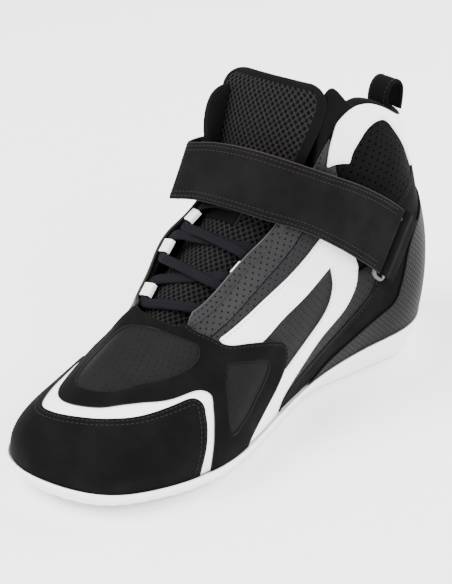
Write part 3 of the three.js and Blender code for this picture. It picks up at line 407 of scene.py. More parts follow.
class Palette:
    """Materials by finish, each made once."""

    def __init__(self) -> None:
        self.made: dict[str, bpy.types.Material] = {}

    def __getitem__(self, finish: Finish) -> bpy.types.Material:
        """The finish's material."""
        if finish.name not in self.made:
            self.made[finish.name] = Paint(finish).build()
        return self.made[finish.name]


# ------------------------------------------------------------------ curves and the foot form
class Curve:
    """Centripetal Catmull-Rom curve through points; s runs 0 to 1 over equal index steps."""

    def __init__(self, points: ArrayLike, closed: bool = False) -> None:
        p = np.array(points, float)
        if closed:
            self.points = np.vstack([p[-1], p, p[:2]])
            self.spans = len(p)
        else:
            self.points = np.vstack([2 * p[0] - p[1], p, 2 * p[-1] - p[-2]])
            self.spans = len(p) - 1

    def at(self, s: ArrayLike) -> np.ndarray:
        """Points at s."""
        x = np.clip(np.asarray(s, float), 0, 1) * self.spans
        i = np.minimum(np.floor(x).astype(int), self.spans - 1)
        f = (x - i)[..., None]
        p0, p1, p2, p3 = (self.points[i + j] for j in range(4))
        d0, d1, d2 = (np.sqrt(np.maximum(np.linalg.norm(b - a, axis=-1, keepdims=True), 1e-8))
                      for a, b in ((p0, p1), (p1, p2), (p2, p3)))
        t1 = ((p1 - p0) / d0 - (p2 - p0) / (d0 + d1) + (p2 - p1) / d1) * d1
        t2 = ((p2 - p1) / d1 - (p3 - p1) / (d1 + d2) + (p3 - p2) / d2) * d1
        return p1 + t1 * f + (-3 * p1 + 3 * p2 - 2 * t1 - t2) * f * f + (2 * p1 - 2 * p2 + t1 + t2) * f ** 3

    def tangent(self, s: ArrayLike) -> np.ndarray:
        """Unit tangents at s."""
        s = np.asarray(s, float)
        return unit(self.at(np.minimum(s + 1e-3, 1)) - self.at(np.maximum(s - 1e-3, 0)))


def unit(v: np.ndarray) -> np.ndarray:
    """Vectors scaled to length one."""
    return v / np.maximum(np.linalg.norm(v, axis=-1, keepdims=True), 1e-12)


def dot(a: np.ndarray, b: np.ndarray) -> np.ndarray:
    """Row-wise dot product, keeping the last axis."""
    return (a * b).sum(-1, keepdims=True)


class FootForm:
    """The lasted surface: a B-spline through the girth rows, in mm."""

    def __init__(self, rows: tuple) -> None:
        target = np.array(rows, float)
        net = target.copy()
        for _ in range(60):
            ring = (np.roll(net, 1, 1) + 4 * net + np.roll(net, -1, 1)) / 6
            tall = self.extend(ring)
            net = net + target - (tall[:-2] + 4 * tall[1:-1] + tall[2:]) / 6
        self.net = self.extend(net)
        self.make_lengths()

    @staticmethod
    def extend(net: np.ndarray) -> np.ndarray:
        """Adds a straight run-out row at both ends."""
        return np.concatenate([[2 * net[0] - net[1]], net, [2 * net[-1] - net[-2]]])

    @staticmethod
    def basis(f: np.ndarray) -> list[np.ndarray]:
        """Cubic B-spline weights."""
        return [(1 - f) ** 3 / 6, (3 * f ** 3 - 6 * f * f + 4) / 6,
                (-3 * f ** 3 + 3 * f * f + 3 * f + 1) / 6, f ** 3 / 6]

    def inside(self, k: np.ndarray, t: np.ndarray) -> np.ndarray:
        """Surface points for t within 0 to 1."""
        ki = np.floor(k).astype(int)
        x = t * 4
        ti = np.minimum(np.floor(x).astype(int), 3)
        wk = self.basis(k - ki)
        wt = self.basis(x - ti)
        out = np.zeros((*k.shape, 3))
        for a in range(4):
            for b in range(4):
                out += (wt[a] * wk[b])[..., None] * self.net[ti + a, (ki - 1 + b) % STATIONS]
        return out

    def at(self, k: ArrayLike, t: ArrayLike) -> np.ndarray:
        """Surface points; past the top line it runs on straight."""
        k, t = np.broadcast_arrays(np.asarray(k, float), np.asarray(t, float))
        low = self.inside(k, np.clip(t, 0, 1))
        over = np.maximum(t - 1, 0)[..., None]
        step = (self.inside(k, np.ones_like(t)) - self.inside(k, np.full_like(t, 0.98))) / 0.02
        return low + step * over

    def slopes(self, k: ArrayLike, t: ArrayLike) -> tuple[np.ndarray, np.ndarray]:
        """Derivatives along k and t."""
        k, t = np.broadcast_arrays(np.asarray(k, float), np.asarray(t, float))
        s = np.clip(t, 0.01, 0.99)
        return ((self.at(k + 0.02, s) - self.at(k - 0.02, s)) / 0.04,
                (self.at(k, s + 0.008) - self.at(k, s - 0.008)) / 0.016)

    def normal(self, k: ArrayLike, t: ArrayLike) -> np.ndarray:
        """Outward unit normals, level at the feather line."""
        du, dv = self.slopes(k, t)
        n = unit(np.cross(du, dv))
        n[..., 2] *= np.clip(np.clip(np.broadcast_to(t, n.shape[:-1]), 0.01, 0.99) / 0.2, 0, 1)
        return unit(n)

    def lift(self, k: ArrayLike, t: ArrayLike, h: ArrayLike) -> np.ndarray:
        """Points at height h over the form, with the slight unevenness of a real upper."""
        p = self.at(k, t)
        x, y, z = p[..., 0], p[..., 1], p[..., 2]
        wave = (0.20 * np.sin(0.11 * x + 0.07 * y + 1.3) * np.sin(0.09 * z + 0.05 * y)
                + 0.12 * np.sin(0.17 * y - 0.12 * z + 0.7))
        return p + self.normal(k, t) * (np.asarray(h) + wave)[..., None]

    def make_lengths(self) -> None:
        """Tables of arc length along k and t, for pattern coordinates in mm."""
        self.ks = np.arange(-5, 21.01, 0.1)
        self.ts = np.arange(0, 1.101, 0.05)
        grid = self.at(self.ks[:, None], self.ts[None, :])
        du = np.linalg.norm(np.diff(grid, axis=0), axis=-1)
        dv = np.linalg.norm(np.diff(grid, axis=1), axis=-1)
        self.us = np.vstack([np.zeros((1, len(self.ts))), np.cumsum(du, 0)])
        self.us -= self.us[90]
        self.vs = np.hstack([np.zeros((len(self.ks), 1)), np.cumsum(dv, 1)])

    def pattern_mm(self, k: np.ndarray, t: np.ndarray) -> np.ndarray:
        """Pattern coordinates in mm."""
        x = np.clip((k + 5) / 0.1, 0, len(self.ks) - 1.001)
        y = np.clip(t / 0.05, 0, len(self.ts) - 1.001)
        i, j = x.astype(int), y.astype(int)
        a, b = x - i, y - j
        return np.stack([(g[i, j] * (1 - a) + g[i + 1, j] * a) * (1 - b)
                         + (g[i, j + 1] * (1 - a) + g[i + 1, j + 1] * a) * b for g in (self.us, self.vs)], -1)

    def shift(self, k: np.ndarray, t: np.ndarray, move: np.ndarray) -> tuple[np.ndarray, np.ndarray]:
        """Pattern coordinates moved by a small 3-D step along the surface."""
        du, dv = self.slopes(k, t)
        a, b, c = dot(du, du), dot(du, dv), dot(dv, dv)
        d, e = dot(move, du), dot(move, dv)
        det = a * c - b * b
        return k + ((c * d - b * e) / det)[..., 0], t + ((a * e - b * d) / det)[..., 0]


FORM = FootForm(FORM_ROWS)
PALETTE = Palette()


# ------------------------------------------------------------------ meshes
# EDGE_GAP is the outline's point spacing in mm. SPREAD and SCALE are rough sizes of one
# step in k and t, in mm, for curves and for the triangle grid.
EDGE_GAP = 1.15
SPREAD = np.array([10.0, 120.0])


def make_object(name: str, verts: np.ndarray, faces: list, finishes: list[Finish],
                mats: list[int] | None = None, uvs: np.ndarray | None = None) -> bpy.types.Object:
    """A mesh object from points in mm.

    Args:
        name: object name.
        verts: points, in mm.
        faces: index tuples.
        finishes: one per material index.
        mats: material index per face.
        uvs: pattern coordinates per vertex, in mm.

    Returns:
        The object, linked to the scene.
    """
    mesh = bpy.data.meshes.new(name)
    mesh.from_pydata((np.asarray(verts) * MM).tolist(), [], [tuple(int(i) for i in f) for f in faces])
    for finish in finishes:
        mesh.materials.append(PALETTE[finish])
    if mats is not None:
        mesh.polygons.foreach_set("material_index", np.asarray(mats, np.int32))
    mesh.polygons.foreach_set("use_smooth", np.full(len(mesh.polygons), True))
    if uvs is not None:
        layer = mesh.uv_layers.new(name="pattern")
        index = np.zeros(len(mesh.loops), np.int32)
        mesh.loops.foreach_get("vertex_index", index)
        layer.data.foreach_set("uv", (np.asarray(uvs)[index] / 100).astype(np.float32).ravel())
    mesh.validate()
    mesh.update()
    obj = bpy.data.objects.new(name, mesh)
    bpy.context.scene.collection.objects.link(obj)
    return obj


def resample(points: np.ndarray) -> np.ndarray:
    """Pattern points respaced evenly by their length on the form."""
    run = lengths(on_form(points))
    count = max(2, int(round(run[-1] / EDGE_GAP)) + 1)
    want = np.linspace(0, run[-1], count)
    return np.stack([np.interp(want, run, points[:, 0]), np.interp(want, run, points[:, 1])], 1)


def weave(along: np.ndarray, around: np.ndarray) -> np.ndarray:
    """Pattern coordinates of a grid, from one value per station and one per point round it."""
    u, v = np.broadcast_arrays(along[:, None], around[None, :])
    return np.stack([u, v], -1).reshape(-1, 2)


def lengths(points: np.ndarray) -> np.ndarray:
    """Length run along a line, at each of its points."""
    return np.concatenate([[0], np.cumsum(np.linalg.norm(np.diff(points, axis=0), axis=1))])


def on_form(points: np.ndarray) -> np.ndarray:
    """Pattern points on the bare form."""
    return FORM.at(points[:, 0], points[:, 1])


def run_curve(points: Points) -> np.ndarray:
    """A smooth run of outline through its points."""
    if len(points) < 3:
        return np.array([np.linspace(points[0][i], points[-1][i], 24) for i in range(2)]).T
    return Curve(np.array(points) * SPREAD).at(np.linspace(0, 1, (len(points) - 1) * 12 + 1)) / SPREAD


def contains(shape: np.ndarray, p: np.ndarray) -> np.ndarray:
    """Even-odd test of points against a closed outline."""
    a, b = shape, np.roll(shape, -1, 0)
    out = np.zeros(len(p), bool)
    for (x0, y0), (x1, y1) in zip(a, b):
        if y0 == y1:
            continue
        cross = ((y0 > p[:, 1]) != (y1 > p[:, 1])) & (p[:, 0] < (x1 - x0) * (p[:, 1] - y0) / (y1 - y0) + x0)
        out ^= cross
    return out


def nearest(p: np.ndarray, q: np.ndarray) -> np.ndarray:
    """Distance from each p to the nearest q."""
    out = np.empty(len(p))
    for i in range(0, len(p), 2000):
        out[i:i + 2000] = np.sqrt(((p[i:i + 2000, None] - q[None]) ** 2).sum(-1).min(1))
    return out


SCALE = np.array([36.0, 150.0])
# (distance from the cut edge, height change) in mm; STITCHED also sinks under a sewn row.
BEVEL = ((0.0, -0.5), (0.22, -0.20), (0.55, -0.05), (1.1, 0.0))
STITCHED = (*BEVEL, (1.7, -0.10), (2.3, -0.04), (3.3, 0.0))


def flipped(line: Points) -> Points:
    """A line moved to the other side of the foot."""
    return [(STATIONS - k, t) for k, t in line]


@dataclass
class Panel:
    """One die-cut panel of the upper.

    Attributes:
        name: the CAD node it stands for.
        runs: outline runs, in order.
        ply: its depth in the lay-up.
        finish: face finish.
        edge: finish of the cut edge.
        holes: closed outlines cut out of it.
        profile: (distance from the edge, height change) in mm.
        puff: extra height in the middle, in mm.
        seams: (run index, distances from the edge in mm) that are sewn.
        gap: interior point spacing in mm.
        slot: a material slot name; not used.
        thread: finish of its stitches.
    """

    name: str
    runs: list[Points]
    ply: Ply
    finish: Finish
    edge: Finish = CUT_EDGE
    holes: list[Points] = field(default_factory=list)
    profile: tuple = BEVEL
    puff: float = 0.0
    seams: list[tuple[int, tuple[float, ...]]] = field(default_factory=list)
    gap: float = 2.6
    slot: str = ""
    thread: Finish = THREAD

    def mirrored(self, name: str) -> "Panel":
        """The same panel on the other side of the foot, under another name."""
        return replace(self, name=name, runs=[flipped(line) for line in self.runs],
                       holes=[flipped(line) for line in self.holes])

    def sampled(self) -> list[np.ndarray]:
        """Outline runs respaced on the form."""
        return [resample(run_curve(r)) for r in self.runs]

    @staticmethod
    def rounded(loop: np.ndarray, passes: int = 2) -> np.ndarray:
        """Takes the point off sharp corners, leaving the feather line alone."""
        out = loop.copy()
        for _ in range(passes):
            mean = (np.roll(out, 1, 0) + np.roll(out, -1, 0)) / 2
            out = np.where((loop[:, 1:] > 0.02), out * 0.5 + mean * 0.5, out)
        return out

    def closed_loops(self) -> list[np.ndarray]:
        """Outer outline anticlockwise, then the holes clockwise."""
        outer = self.rounded(np.vstack([r[:-1] for r in self.sampled()]))
        loops = [outer]
        for hole in self.holes:
            ring = Curve(np.array(hole) * SPREAD, closed=True).at(np.linspace(0, 1, len(hole) * 12 + 1))
            loops.append(resample(ring / SPREAD)[:-1])
        for i, loop in enumerate(loops):
            x, y = loop[:, 0], loop[:, 1]
            area = (x * np.roll(y, -1) - np.roll(x, -1) * y).sum()
            if (area > 0) != (i == 0):
                loops[i] = loop[::-1]
        return loops

    def inset(self, line: np.ndarray, distance: float, closed: bool = True) -> np.ndarray:
        """A line moved to its left along the surface."""
        p = on_form(line)
        d = np.roll(p, -1, 0) - np.roll(p, 1, 0) if closed else np.gradient(p, axis=0)
        left = unit(np.cross(FORM.normal(line[:, 0], line[:, 1]), unit(d)))
        k, t = FORM.shift(line[:, 0], line[:, 1], left * distance)
        return np.stack([k, t], 1)

    def build(self) -> list[bpy.types.Object]:
        """Makes the panel and its stitches."""
        loops = self.closed_loops()
        edge = np.vstack([on_form(loop) for loop in loops])
        flat, tris = self.triangles(loops, edge)
        made = [self.shell(flat, tris, nearest(on_form(flat), edge))]
        if self.seams:
            made.append(self.sewn())
        return made

    def triangles(self, loops: list[np.ndarray], edge: np.ndarray) -> tuple[np.ndarray, np.ndarray]:
        """Fills the outline with triangles.

        Args:
            loops: outer outline and holes, in pattern space.
            edge: the same points on the form.

        Returns:
            Pattern points and triangle indices.
        """
        edges = []
        base = 0
        for loop in loops:
            edges += [(base + i, base + (i + 1) % len(loop)) for i in range(len(loop))]
            base += len(loop)
        rings = np.vstack([self.inset(loop, distance)[::1 if distance < 1 else 2]
                           for distance, _ in self.profile[1:] for loop in loops])
        rings = rings[self.covers(loops, rings)]
        rings = rings[nearest(on_form(rings), edge) > 0.15]
        low, high = loops[0].min(0) * SCALE, loops[0].max(0) * SCALE
        x, y = np.meshgrid(np.arange(low[0], high[0], self.gap),
                           np.arange(low[1], high[1], self.gap * 0.87))
        x[1::2] += self.gap / 2
        grid = np.stack([x.ravel(), y.ravel()], 1) / SCALE
        grid = grid[contains(loops[0], grid)]
        if len(grid):
            grid = grid[nearest(on_form(grid), edge) > self.profile[-1][0] + 0.8]
        every = np.vstack([*loops, rings, grid]) * SCALE
        points, _, tris, _, _, _ = delaunay_2d_cdt([Vector(p) for p in every], edges, [], 0, 1e-5, True)
        flat = np.array([tuple(v) for v in points]) / SCALE
        tris = np.array([t for t in tris if len(t) == 3])
        tris = tris[self.covers(loops, flat[tris].mean(1))]
        a, b, c = (flat[tris[:, i]] for i in range(3))
        turn = (b[:, 0] - a[:, 0]) * (c[:, 1] - a[:, 1]) - (b[:, 1] - a[:, 1]) * (c[:, 0] - a[:, 0])
        tris[turn < 0] = tris[turn < 0][:, ::-1]
        return flat, tris[np.abs(turn) > 1e-9]

    @staticmethod
    def covers(loops: list[np.ndarray], points: np.ndarray) -> np.ndarray:
        """Which points lie inside the outline and outside its holes."""
        inside = contains(loops[0], points)
        for hole in loops[1:]:
            inside &= ~contains(hole, points)
        return inside

    def shell(self, flat: np.ndarray, tris: np.ndarray, far: np.ndarray) -> bpy.types.Object:
        """The panel's closed body.

        Args:
            flat: pattern points.
            tris: triangle indices.
            far: distance of each point from the outline, in mm.

        Returns:
            The object.
        """
        low, high = self.ply.value
        height = high + np.interp(far, *np.array(self.profile).T)
        if self.puff:
            height = height + self.puff * (1 - np.exp(-(np.maximum(far - 1.0, 0) / 5.0) ** 2))
        n = len(flat)
        top = FORM.lift(flat[:, 0], flat[:, 1], height)
        bottom = FORM.lift(flat[:, 0], flat[:, 1], np.full(n, low))
        faces = [tuple(t) for t in tris] + [tuple(t[::-1] + n) for t in tris]
        mats = [1 if (far[t] < 0.16).any() and (far[t] < 0.3).all() else 0 for t in tris] + [1] * len(tris)
        directed = {(int(t[i]), int(t[(i + 1) % 3])) for t in tris for i in range(3)}
        for i, j in directed:
            if (j, i) not in directed:
                faces.append((i, i + n, j + n, j))
                mats.append(1)
        uvs = np.tile(FORM.pattern_mm(flat[:, 0], flat[:, 1]), (2, 1))
        obj = make_object(self.name + "_cut", np.vstack([top, bottom]), faces, [self.finish, self.edge],
                          mats, uvs)
        mark_sharp(obj, 50)
        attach(obj, "shoe")
        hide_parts(self.name)
        return obj

    def sewn(self) -> bpy.types.Object:
        """The stitches along the panel's seams."""
        high = self.ply.value[1]
        runs = self.sampled()
        area = sum((r[:-1, 0] * r[1:, 1] - r[1:, 0] * r[:-1, 1]).sum() for r in runs)
        rows = []
        for index, distances in self.seams:
            for d in distances:
                line = self.inset(runs[index], d if area > 0 else -d, closed=False)
                groove = float(np.interp(d, *np.array(self.profile).T))
                height = np.full(len(line), high - 0.02 + groove)
                rows.append((FORM.lift(line[:, 0], line[:, 1], height), FORM.normal(line[:, 0], line[:, 1])))
        return stitches(self.name + "_thread", rows, "shoe", finish=self.thread)


def mark_sharp(obj: bpy.types.Object, degrees: float) -> None:
    """Keeps hard corners crisp under smooth shading."""
    obj.data.set_sharp_from_angle(angle=math.radians(degrees))


STITCH = 2.0
STITCH_PITCH = 2.75
THREAD_RADIUS = 0.26


def stitches(name: str, rows: list, body: str | None, finish: Finish = THREAD) -> bpy.types.Object:
    """Sewn stitches along lines.

    Args:
        name: object name.
        rows: (points, normals) per line, in mm.
        body: the CAD body they ride, or None to leave them unattached.
        finish: the thread's finish.

    Returns:
        One object holding every stitch.
    """
    sides, rings = 6, ((-0.5, 0.25), (-0.4, 0.85), (0.0, 1.0), (0.4, 0.85), (0.5, 0.25))
    verts, faces = [], []
    for points, normals in rows:
        run = lengths(points)
        if run[-1] < STITCH_PITCH:
            continue
        middles = np.arange(STITCH_PITCH / 2, run[-1] - STITCH / 2, STITCH_PITCH)
        pick = lambda at, v: np.stack([np.interp(at, run, v[:, i]) for i in range(3)], -1)
        p = pick(middles, points)
        t = unit(pick(middles + STITCH / 2, points) - pick(middles - STITCH / 2, points))
        n = unit(pick(middles, normals))
        side = unit(np.cross(t, n))
        up = np.cross(side, t)
        for i in range(len(middles)):
            base = len(verts)
            for x, r in rings:
                sink = -0.16 * (2 * x) ** 2
                for j in range(sides):
                    a = j / sides * math.tau
                    verts.append(p[i] + t[i] * x * STITCH + side[i] * math.cos(a) * r * THREAD_RADIUS
                                 + up[i] * (math.sin(a) * r * THREAD_RADIUS + sink))
            for q in range(len(rings) - 1):
                for j in range(sides):
                    k = (j + 1) % sides
                    faces.append((base + q * sides + j, base + q * sides + k,
                                  base + (q + 1) * sides + k, base + (q + 1) * sides + j))
            faces.append(tuple(base + j for j in range(sides))[::-1])
            faces.append(tuple(base + (len(rings) - 1) * sides + j for j in range(sides)))
    obj = make_object(name, np.array(verts), faces, [finish])
    fix_normals(obj)
    if body:
        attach(obj, body)
    return obj


def fix_normals(obj: bpy.types.Object) -> None:
    """Turns every face of a closed mesh outwards."""
    bpy.ops.object.select_all(action="DESELECT")
    bpy.context.view_layer.objects.active = obj
    obj.select_set(True)
    bpy.ops.object.mode_set(mode="EDIT")
    bpy.ops.mesh.select_all(action="SELECT")
    bpy.ops.mesh.normals_make_consistent(inside=False)
    bpy.ops.object.mode_set(mode="OBJECT")
    obj.select_set(False)


def sweep(name: str, rings: np.ndarray, finishes: list[Finish], closed: bool = False,
          mats: list[int] | None = None, uvs: np.ndarray | None = None,
          body: str | None = "shoe") -> bpy.types.Object:
    """A body through closed rings of equal size.

    Args:
        name: object name.
        rings: array of shape (stations, points round, 3), in mm.
        finishes: one per material index.
        closed: whether the last ring joins the first.
        mats: material index per point round the ring.
        uvs: pattern coordinates per vertex, in mm.
        body: the CAD body it rides, if any.

    Returns:
        The object.
    """
    count, n = rings.shape[:2]
    faces, index = [], []
    for i in range(count if closed else count - 1):
        a, b = i * n, ((i + 1) % count) * n
        for j in range(n):
            k = (j + 1) % n
            faces.append((a + j, a + k, b + k, b + j))
            index.append(mats[j] if mats is not None else 0)
    if not closed:
        faces += [tuple(range(n))[::-1], tuple((count - 1) * n + j for j in range(n))]
        index += [0, 0]
    obj = make_object(name, rings.reshape(-1, 3), faces, finishes, index, uvs)
    fix_normals(obj)
    if body:
        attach(obj, body)
    return obj


# ------------------------------------------------------------------ the upper
TOP = 0.985


def box(k0: float, k1: float, t0: float, t1: float) -> list[Points]:
    """Outline runs of a panel with four straight sides."""
    corners = [(k0, t0), (k1, t0), (k1, t1), (k0, t1), (k0, t0)]
    return [[a, b] for a, b in zip(corners, corners[1:])]


def enlarged(points: Points, centre: tuple[float, float], x: float, y: float) -> list[Points]:
    """One closed run through points spread away from a centre."""
    a, b = centre
    return [[(a + (k - a) * x, b + (t - b) * y) for k, t in (*points, points[0])]]


def inner_panels() -> list[Panel]:
    """The lining and the first ply."""
    out = []
    for name, k0, k1 in (("vamp_lining", -2.99, 2.99), ("quarter_lining_lateral", 3.01, 6.99),
                         ("heel_lining", 7.01, 8.99), ("quarter_lining_medial", 9.01, 12.99)):
        out.append(Panel(name, box(k0, k1, 0.0, TOP), Ply.LINING, KNIT, KNIT, gap=4.0, slot="knit"))
    out.append(Panel("toe_puff", [
        [(-2.5, 0.01), (2.5, 0.01)], [(2.5, 0.01), (2.4, 0.3), (2.0, 0.4)], [(2.0, 0.4), (0, 0.34),
         (-1.8, 0.34)],
        [(-1.8, 0.34), (-2.4, 0.25), (-2.5, 0.01)]], Ply.FIRST, BOARD, gap=5.0, slot="board"))
    out.append(Panel("heel_stiffener", box(6.16, 9.84, 0.01, 0.44), Ply.FIRST, BOARD, gap=5.0,
                     slot="board"))
    out.append(Panel("achilles_panel", box(7.32, 8.68, 0.45, 0.97), Ply.FIRST, NUBUCK, slot="nubuck"))
    out.append(Panel("vamp_base", [
        [(-2.5, 0.45), (0, 0.4), (2.55, 0.45)], [(2.55, 0.45), (2.55, 0.6), (2.0, 0.86)], [(2.0, 0.86),
         (2.0, TOP)],
        [(2.0, TOP), (-1.02, TOP)], [(-1.02, TOP), (-1.6, 0.86)], [(-1.6, 0.86), (-2.55, 0.6), (-2.5, 0.45)]],
        Ply.FIRST, KNIT, gap=4.0, slot="knit"))
    quarter = Panel("quarter_lateral", [
        [(2.62, 0.01), (6.13, 0.01)], [(6.13, 0.01), (6.13, 0.44)], [(6.13, 0.44), (5.7, 0.44)],
        [(5.7, 0.44), (5.7, 0.852)], [(5.7, 0.852), (4.8, 0.852)], [(4.8, 0.852), (3.9, 0.86), (2.4, 0.86)],
        [(2.4, 0.86), (2.62, 0.5)], [(2.62, 0.5), (2.62, 0.01)]],
        Ply.FIRST, QUARTER, QUARTER, slot="perforated_leather")
    out += [quarter, quarter.mirrored("quarter_medial")]
    eyestay = Panel("eyestay_lateral", [
        [(2.05, 0.864), (3.9, 0.864), (4.8, 0.856)], [(4.8, 0.856), (5.7, 0.856)], [(5.7, 0.856), (5.7, TOP)],
        [(5.7, TOP), (2.05, TOP)], [(2.05, TOP), (2.05, 0.864)]],
        Ply.FIRST, PERFORATED, GREY_EDGE, slot="perforated_leather", seams=[(0, (1.6,))], profile=STITCHED)
    out += [eyestay, replace(eyestay, name="eyestay_medial", seams=[], edge=CUT_EDGE, runs=[
        [(15.0, TOP), (10.3, TOP)], [(10.3, TOP), (10.3, 0.86)], [(10.3, 0.86), (11.2, 0.86), (12.1, 0.868)],
        [(12.1, 0.868), (13.6, 0.868), (14.38, 0.868)], [(14.38, 0.868), (15.0, TOP)]])]
    patch = Panel("ankle_patch_lateral", box(5.72, 7.3, 0.45, 0.97),
                  Ply.FIRST, ANKLE, puff=0.7, slot="flex_leather")
    return out + [patch, patch.mirrored("ankle_patch_medial")]


WINDOW = [(-0.15, 0.585), (-0.55, 0.6), (-1.12, 0.65), (-1.32, 0.76), (-0.8, 0.875), (0, 0.928), (1, 0.948),
          (1.85, 0.928), (2.34, 0.865), (2.36, 0.80), (2.15, 0.768), (1.7, 0.75), (1.05, 0.70), (0.75, 0.645),
          (0.35, 0.6)]
SIDE_WINDOW = [(2.99, 0.655), (2.99, 0.45), (3.02, 0.26), (3.08, 0.205), (3.2, 0.225), (3.5, 0.32),
               (3.76, 0.40),
               (3.81, 0.44), (3.77, 0.48), (3.5, 0.55), (3.3, 0.6), (3.12, 0.64)]


def second_panels() -> list[Panel]:
    """The second ply: white band, stripes and collar panels, flex inserts, heel overlay."""
    out = [Panel("toe_band", [
        [(2.9, 0.01), (2.88, 0.3), (2.86, 0.46), (2.74, 0.59), (2.4, 0.665), (1.9, 0.685), (1.4, 0.665),
         (1.0, 0.625), (0.6, 0.575), (0, 0.545), (-0.6, 0.55), (-1.2, 0.59), (-1.8, 0.625), (-2.3, 0.625),
         (-2.7, 0.52), (-2.85, 0.3), (-2.88, 0.01)], [(-2.88, 0.01), (-2.58, 0.01)],
        [(-2.58, 0.01), (-2.55, 0.3), (-2.4, 0.42), (-2.0, 0.45), (-1.4, 0.42), (-0.6, 0.39), (0, 0.39),
         (0.6, 0.44),
         (1.2, 0.49), (1.8, 0.53), (2.2, 0.545), (2.4, 0.5), (2.52, 0.3), (2.52, 0.01)], [(2.52, 0.01),
         (2.9, 0.01)]],
        Ply.SECOND, WHITE, WHITE, slot="white_leather")]
    out.append(Panel("vamp_flex_insert", enlarged(WINDOW, (0.5, 0.77), 1.06, 1.12),
                     Ply.SECOND, FLEX, puff=0.9, slot="flex_leather"))
    out.append(Panel("flex_insert_lateral", enlarged(SIDE_WINDOW, (3.3, 0.42), 1.1, 1.08),
                     Ply.SECOND, FLEX, puff=0.9, slot="flex_leather"))
    stripe = Panel("stripe_lateral", [
        [(5.25, 0.74), (4.8, 0.748), (3.8, 0.798), (2.84, 0.825)], [(2.84, 0.825), (2.96, 0.76),
         (3.35, 0.63)],
        [(3.35, 0.63), (3.7, 0.605), (4.1, 0.6), (4.7, 0.575), (5.28, 0.575)],
        [(5.28, 0.575), (5.24, 0.46), (5.0, 0.385), (4.3, 0.32), (3.9, 0.29)], [(3.9, 0.29), (3.45, 0.15)],
        [(3.45, 0.15), (3.4, 0.01)], [(3.4, 0.01), (4.2, 0.01)],
        [(4.2, 0.01), (4.26, 0.13), (4.6, 0.22), (5.0, 0.29), (5.4, 0.325), (5.62, 0.38), (5.72, 0.47)],
        [(5.72, 0.47), (5.6, 0.64), (5.25, 0.74)]], Ply.SECOND, WHITE, WHITE, slot="white_leather",
        profile=STITCHED, seams=[(0, (1.6,)), (3, (1.6,)), (7, (1.6,))], thread=LIGHT_THREAD)
    out += [stripe, stripe.mirrored("stripe_medial")]
    side = [(4.24, 0.01), (4.5, 0.11), (5.2, 0.2), (5.9, 0.3), (6.05, 0.42), (6.3, 0.56), (6.8, 0.66),
            (7.4, 0.7),
            (8, 0.71)]
    out.append(Panel("heel_overlay", [side, flipped(side)[::-1], [(11.76, 0.01), (4.24, 0.01)]],
                     Ply.SECOND, NUBUCK, CUT_EDGE, profile=STITCHED, seams=[(0, (1.7,)), (1, (1.7,))],
                     slot="nubuck"))
    collar = Panel("collar_panel_lateral", [
        [(5.9, 0.862), (5.56, 0.93)], [(5.56, 0.93), (5.66, 0.968), (5.8, 1.002)], [(5.8, 1.002),
         (7.96, 1.002)],
        [(7.96, 1.002), (7.96, 0.735)], [(7.96, 0.735), (7.5, 0.725), (7.28, 0.72)],
        [(7.28, 0.72), (7.2, 0.79), (7.03, 0.87), (6.86, 0.925), (6.72, 0.952), (6.6, 0.96),
         (6.45, 0.952), (6.25, 0.93),
         (6.1, 0.905), (5.97, 0.885), (5.9, 0.862)]], Ply.SECOND, WHITE, WHITE, slot="white_leather",
        profile=STITCHED, seams=[(5, (1.6,)), (0, (1.6,))], thread=LIGHT_THREAD)
    return out + [collar, collar.mirrored("collar_panel_medial")]


def outer_panels() -> list[Panel]:
    """The third ply: toe cap, vamp overlay and heel counter."""
    out = [Panel("toe_cap", [
        [(2.62, 0.01), (2.68, 0.27), (2.66, 0.42), (2.56, 0.53), (2.32, 0.585), (2.0, 0.575), (1.4, 0.535),
         (1.0, 0.51), (0.6, 0.48), (0, 0.44), (-0.6, 0.42), (-1.2, 0.44), (-1.8, 0.48), (-2.2, 0.5),
         (-2.5, 0.46),
         (-2.64, 0.3), (-2.66, 0.01)], [(-2.66, 0.01), (2.62, 0.01)]],
        Ply.THIRD, NUBUCK, CUT_EDGE, profile=STITCHED, seams=[(0, (1.7, 4.1))], slot="nubuck")]
    out.append(Panel("vamp_overlay", [
        [(2.78, 0.01), (2.78, 0.29), (2.77, 0.44), (2.68, 0.56), (2.38, 0.62), (2.0, 0.62), (1.4, 0.615),
         (1.0, 0.585),
         (0.6, 0.535), (0, 0.5), (-0.6, 0.51), (-1.2, 0.545), (-1.8, 0.58), (-2.3, 0.58), (-2.62, 0.48),
         (-2.78, 0.28),
         (-2.8, 0.01)], [(-2.8, 0.01), (-3.45, 0.01)],
        [(-3.45, 0.01), (-3.7, 0.16), (-3.8, 0.3), (-3.3, 0.46), (-2.6, 0.6), (-2.1, 0.75), (-1.6, 0.88),
         (-0.9, TOP)],
        [(-0.9, TOP), (2.0, TOP)],
        [(2.0, TOP), (2.6, 0.88), (3.0, 0.76), (3.4, 0.675), (3.9, 0.55), (4.15, 0.47), (4.2, 0.38),
         (4.0, 0.28),
         (3.7, 0.18), (3.5, 0.08), (3.45, 0.01)], [(3.45, 0.01), (2.78, 0.01)]],
        Ply.THIRD, NUBUCK, CUT_EDGE, [WINDOW, SIDE_WINDOW], profile=STITCHED,
        seams=[(2, (1.7,)), (4, (1.7,))], slot="nubuck"))
    counter = [(4.9, 0.01), (5.2, 0.08), (5.6, 0.13), (6.0, 0.17), (6.3, 0.21), (6.42, 0.28),
               (6.5, 0.34), (6.6, 0.42),
               (6.75, 0.48), (6.95, 0.52), (7.5, 0.57), (8, 0.58)]
    out.append(Panel("heel_counter", [counter, flipped(counter)[::-1], [(11.1, 0.01), (4.9, 0.01)]],
                     Ply.THIRD, EMBOSSED, NUBUCK, slot="embossed_heel"))
    return out


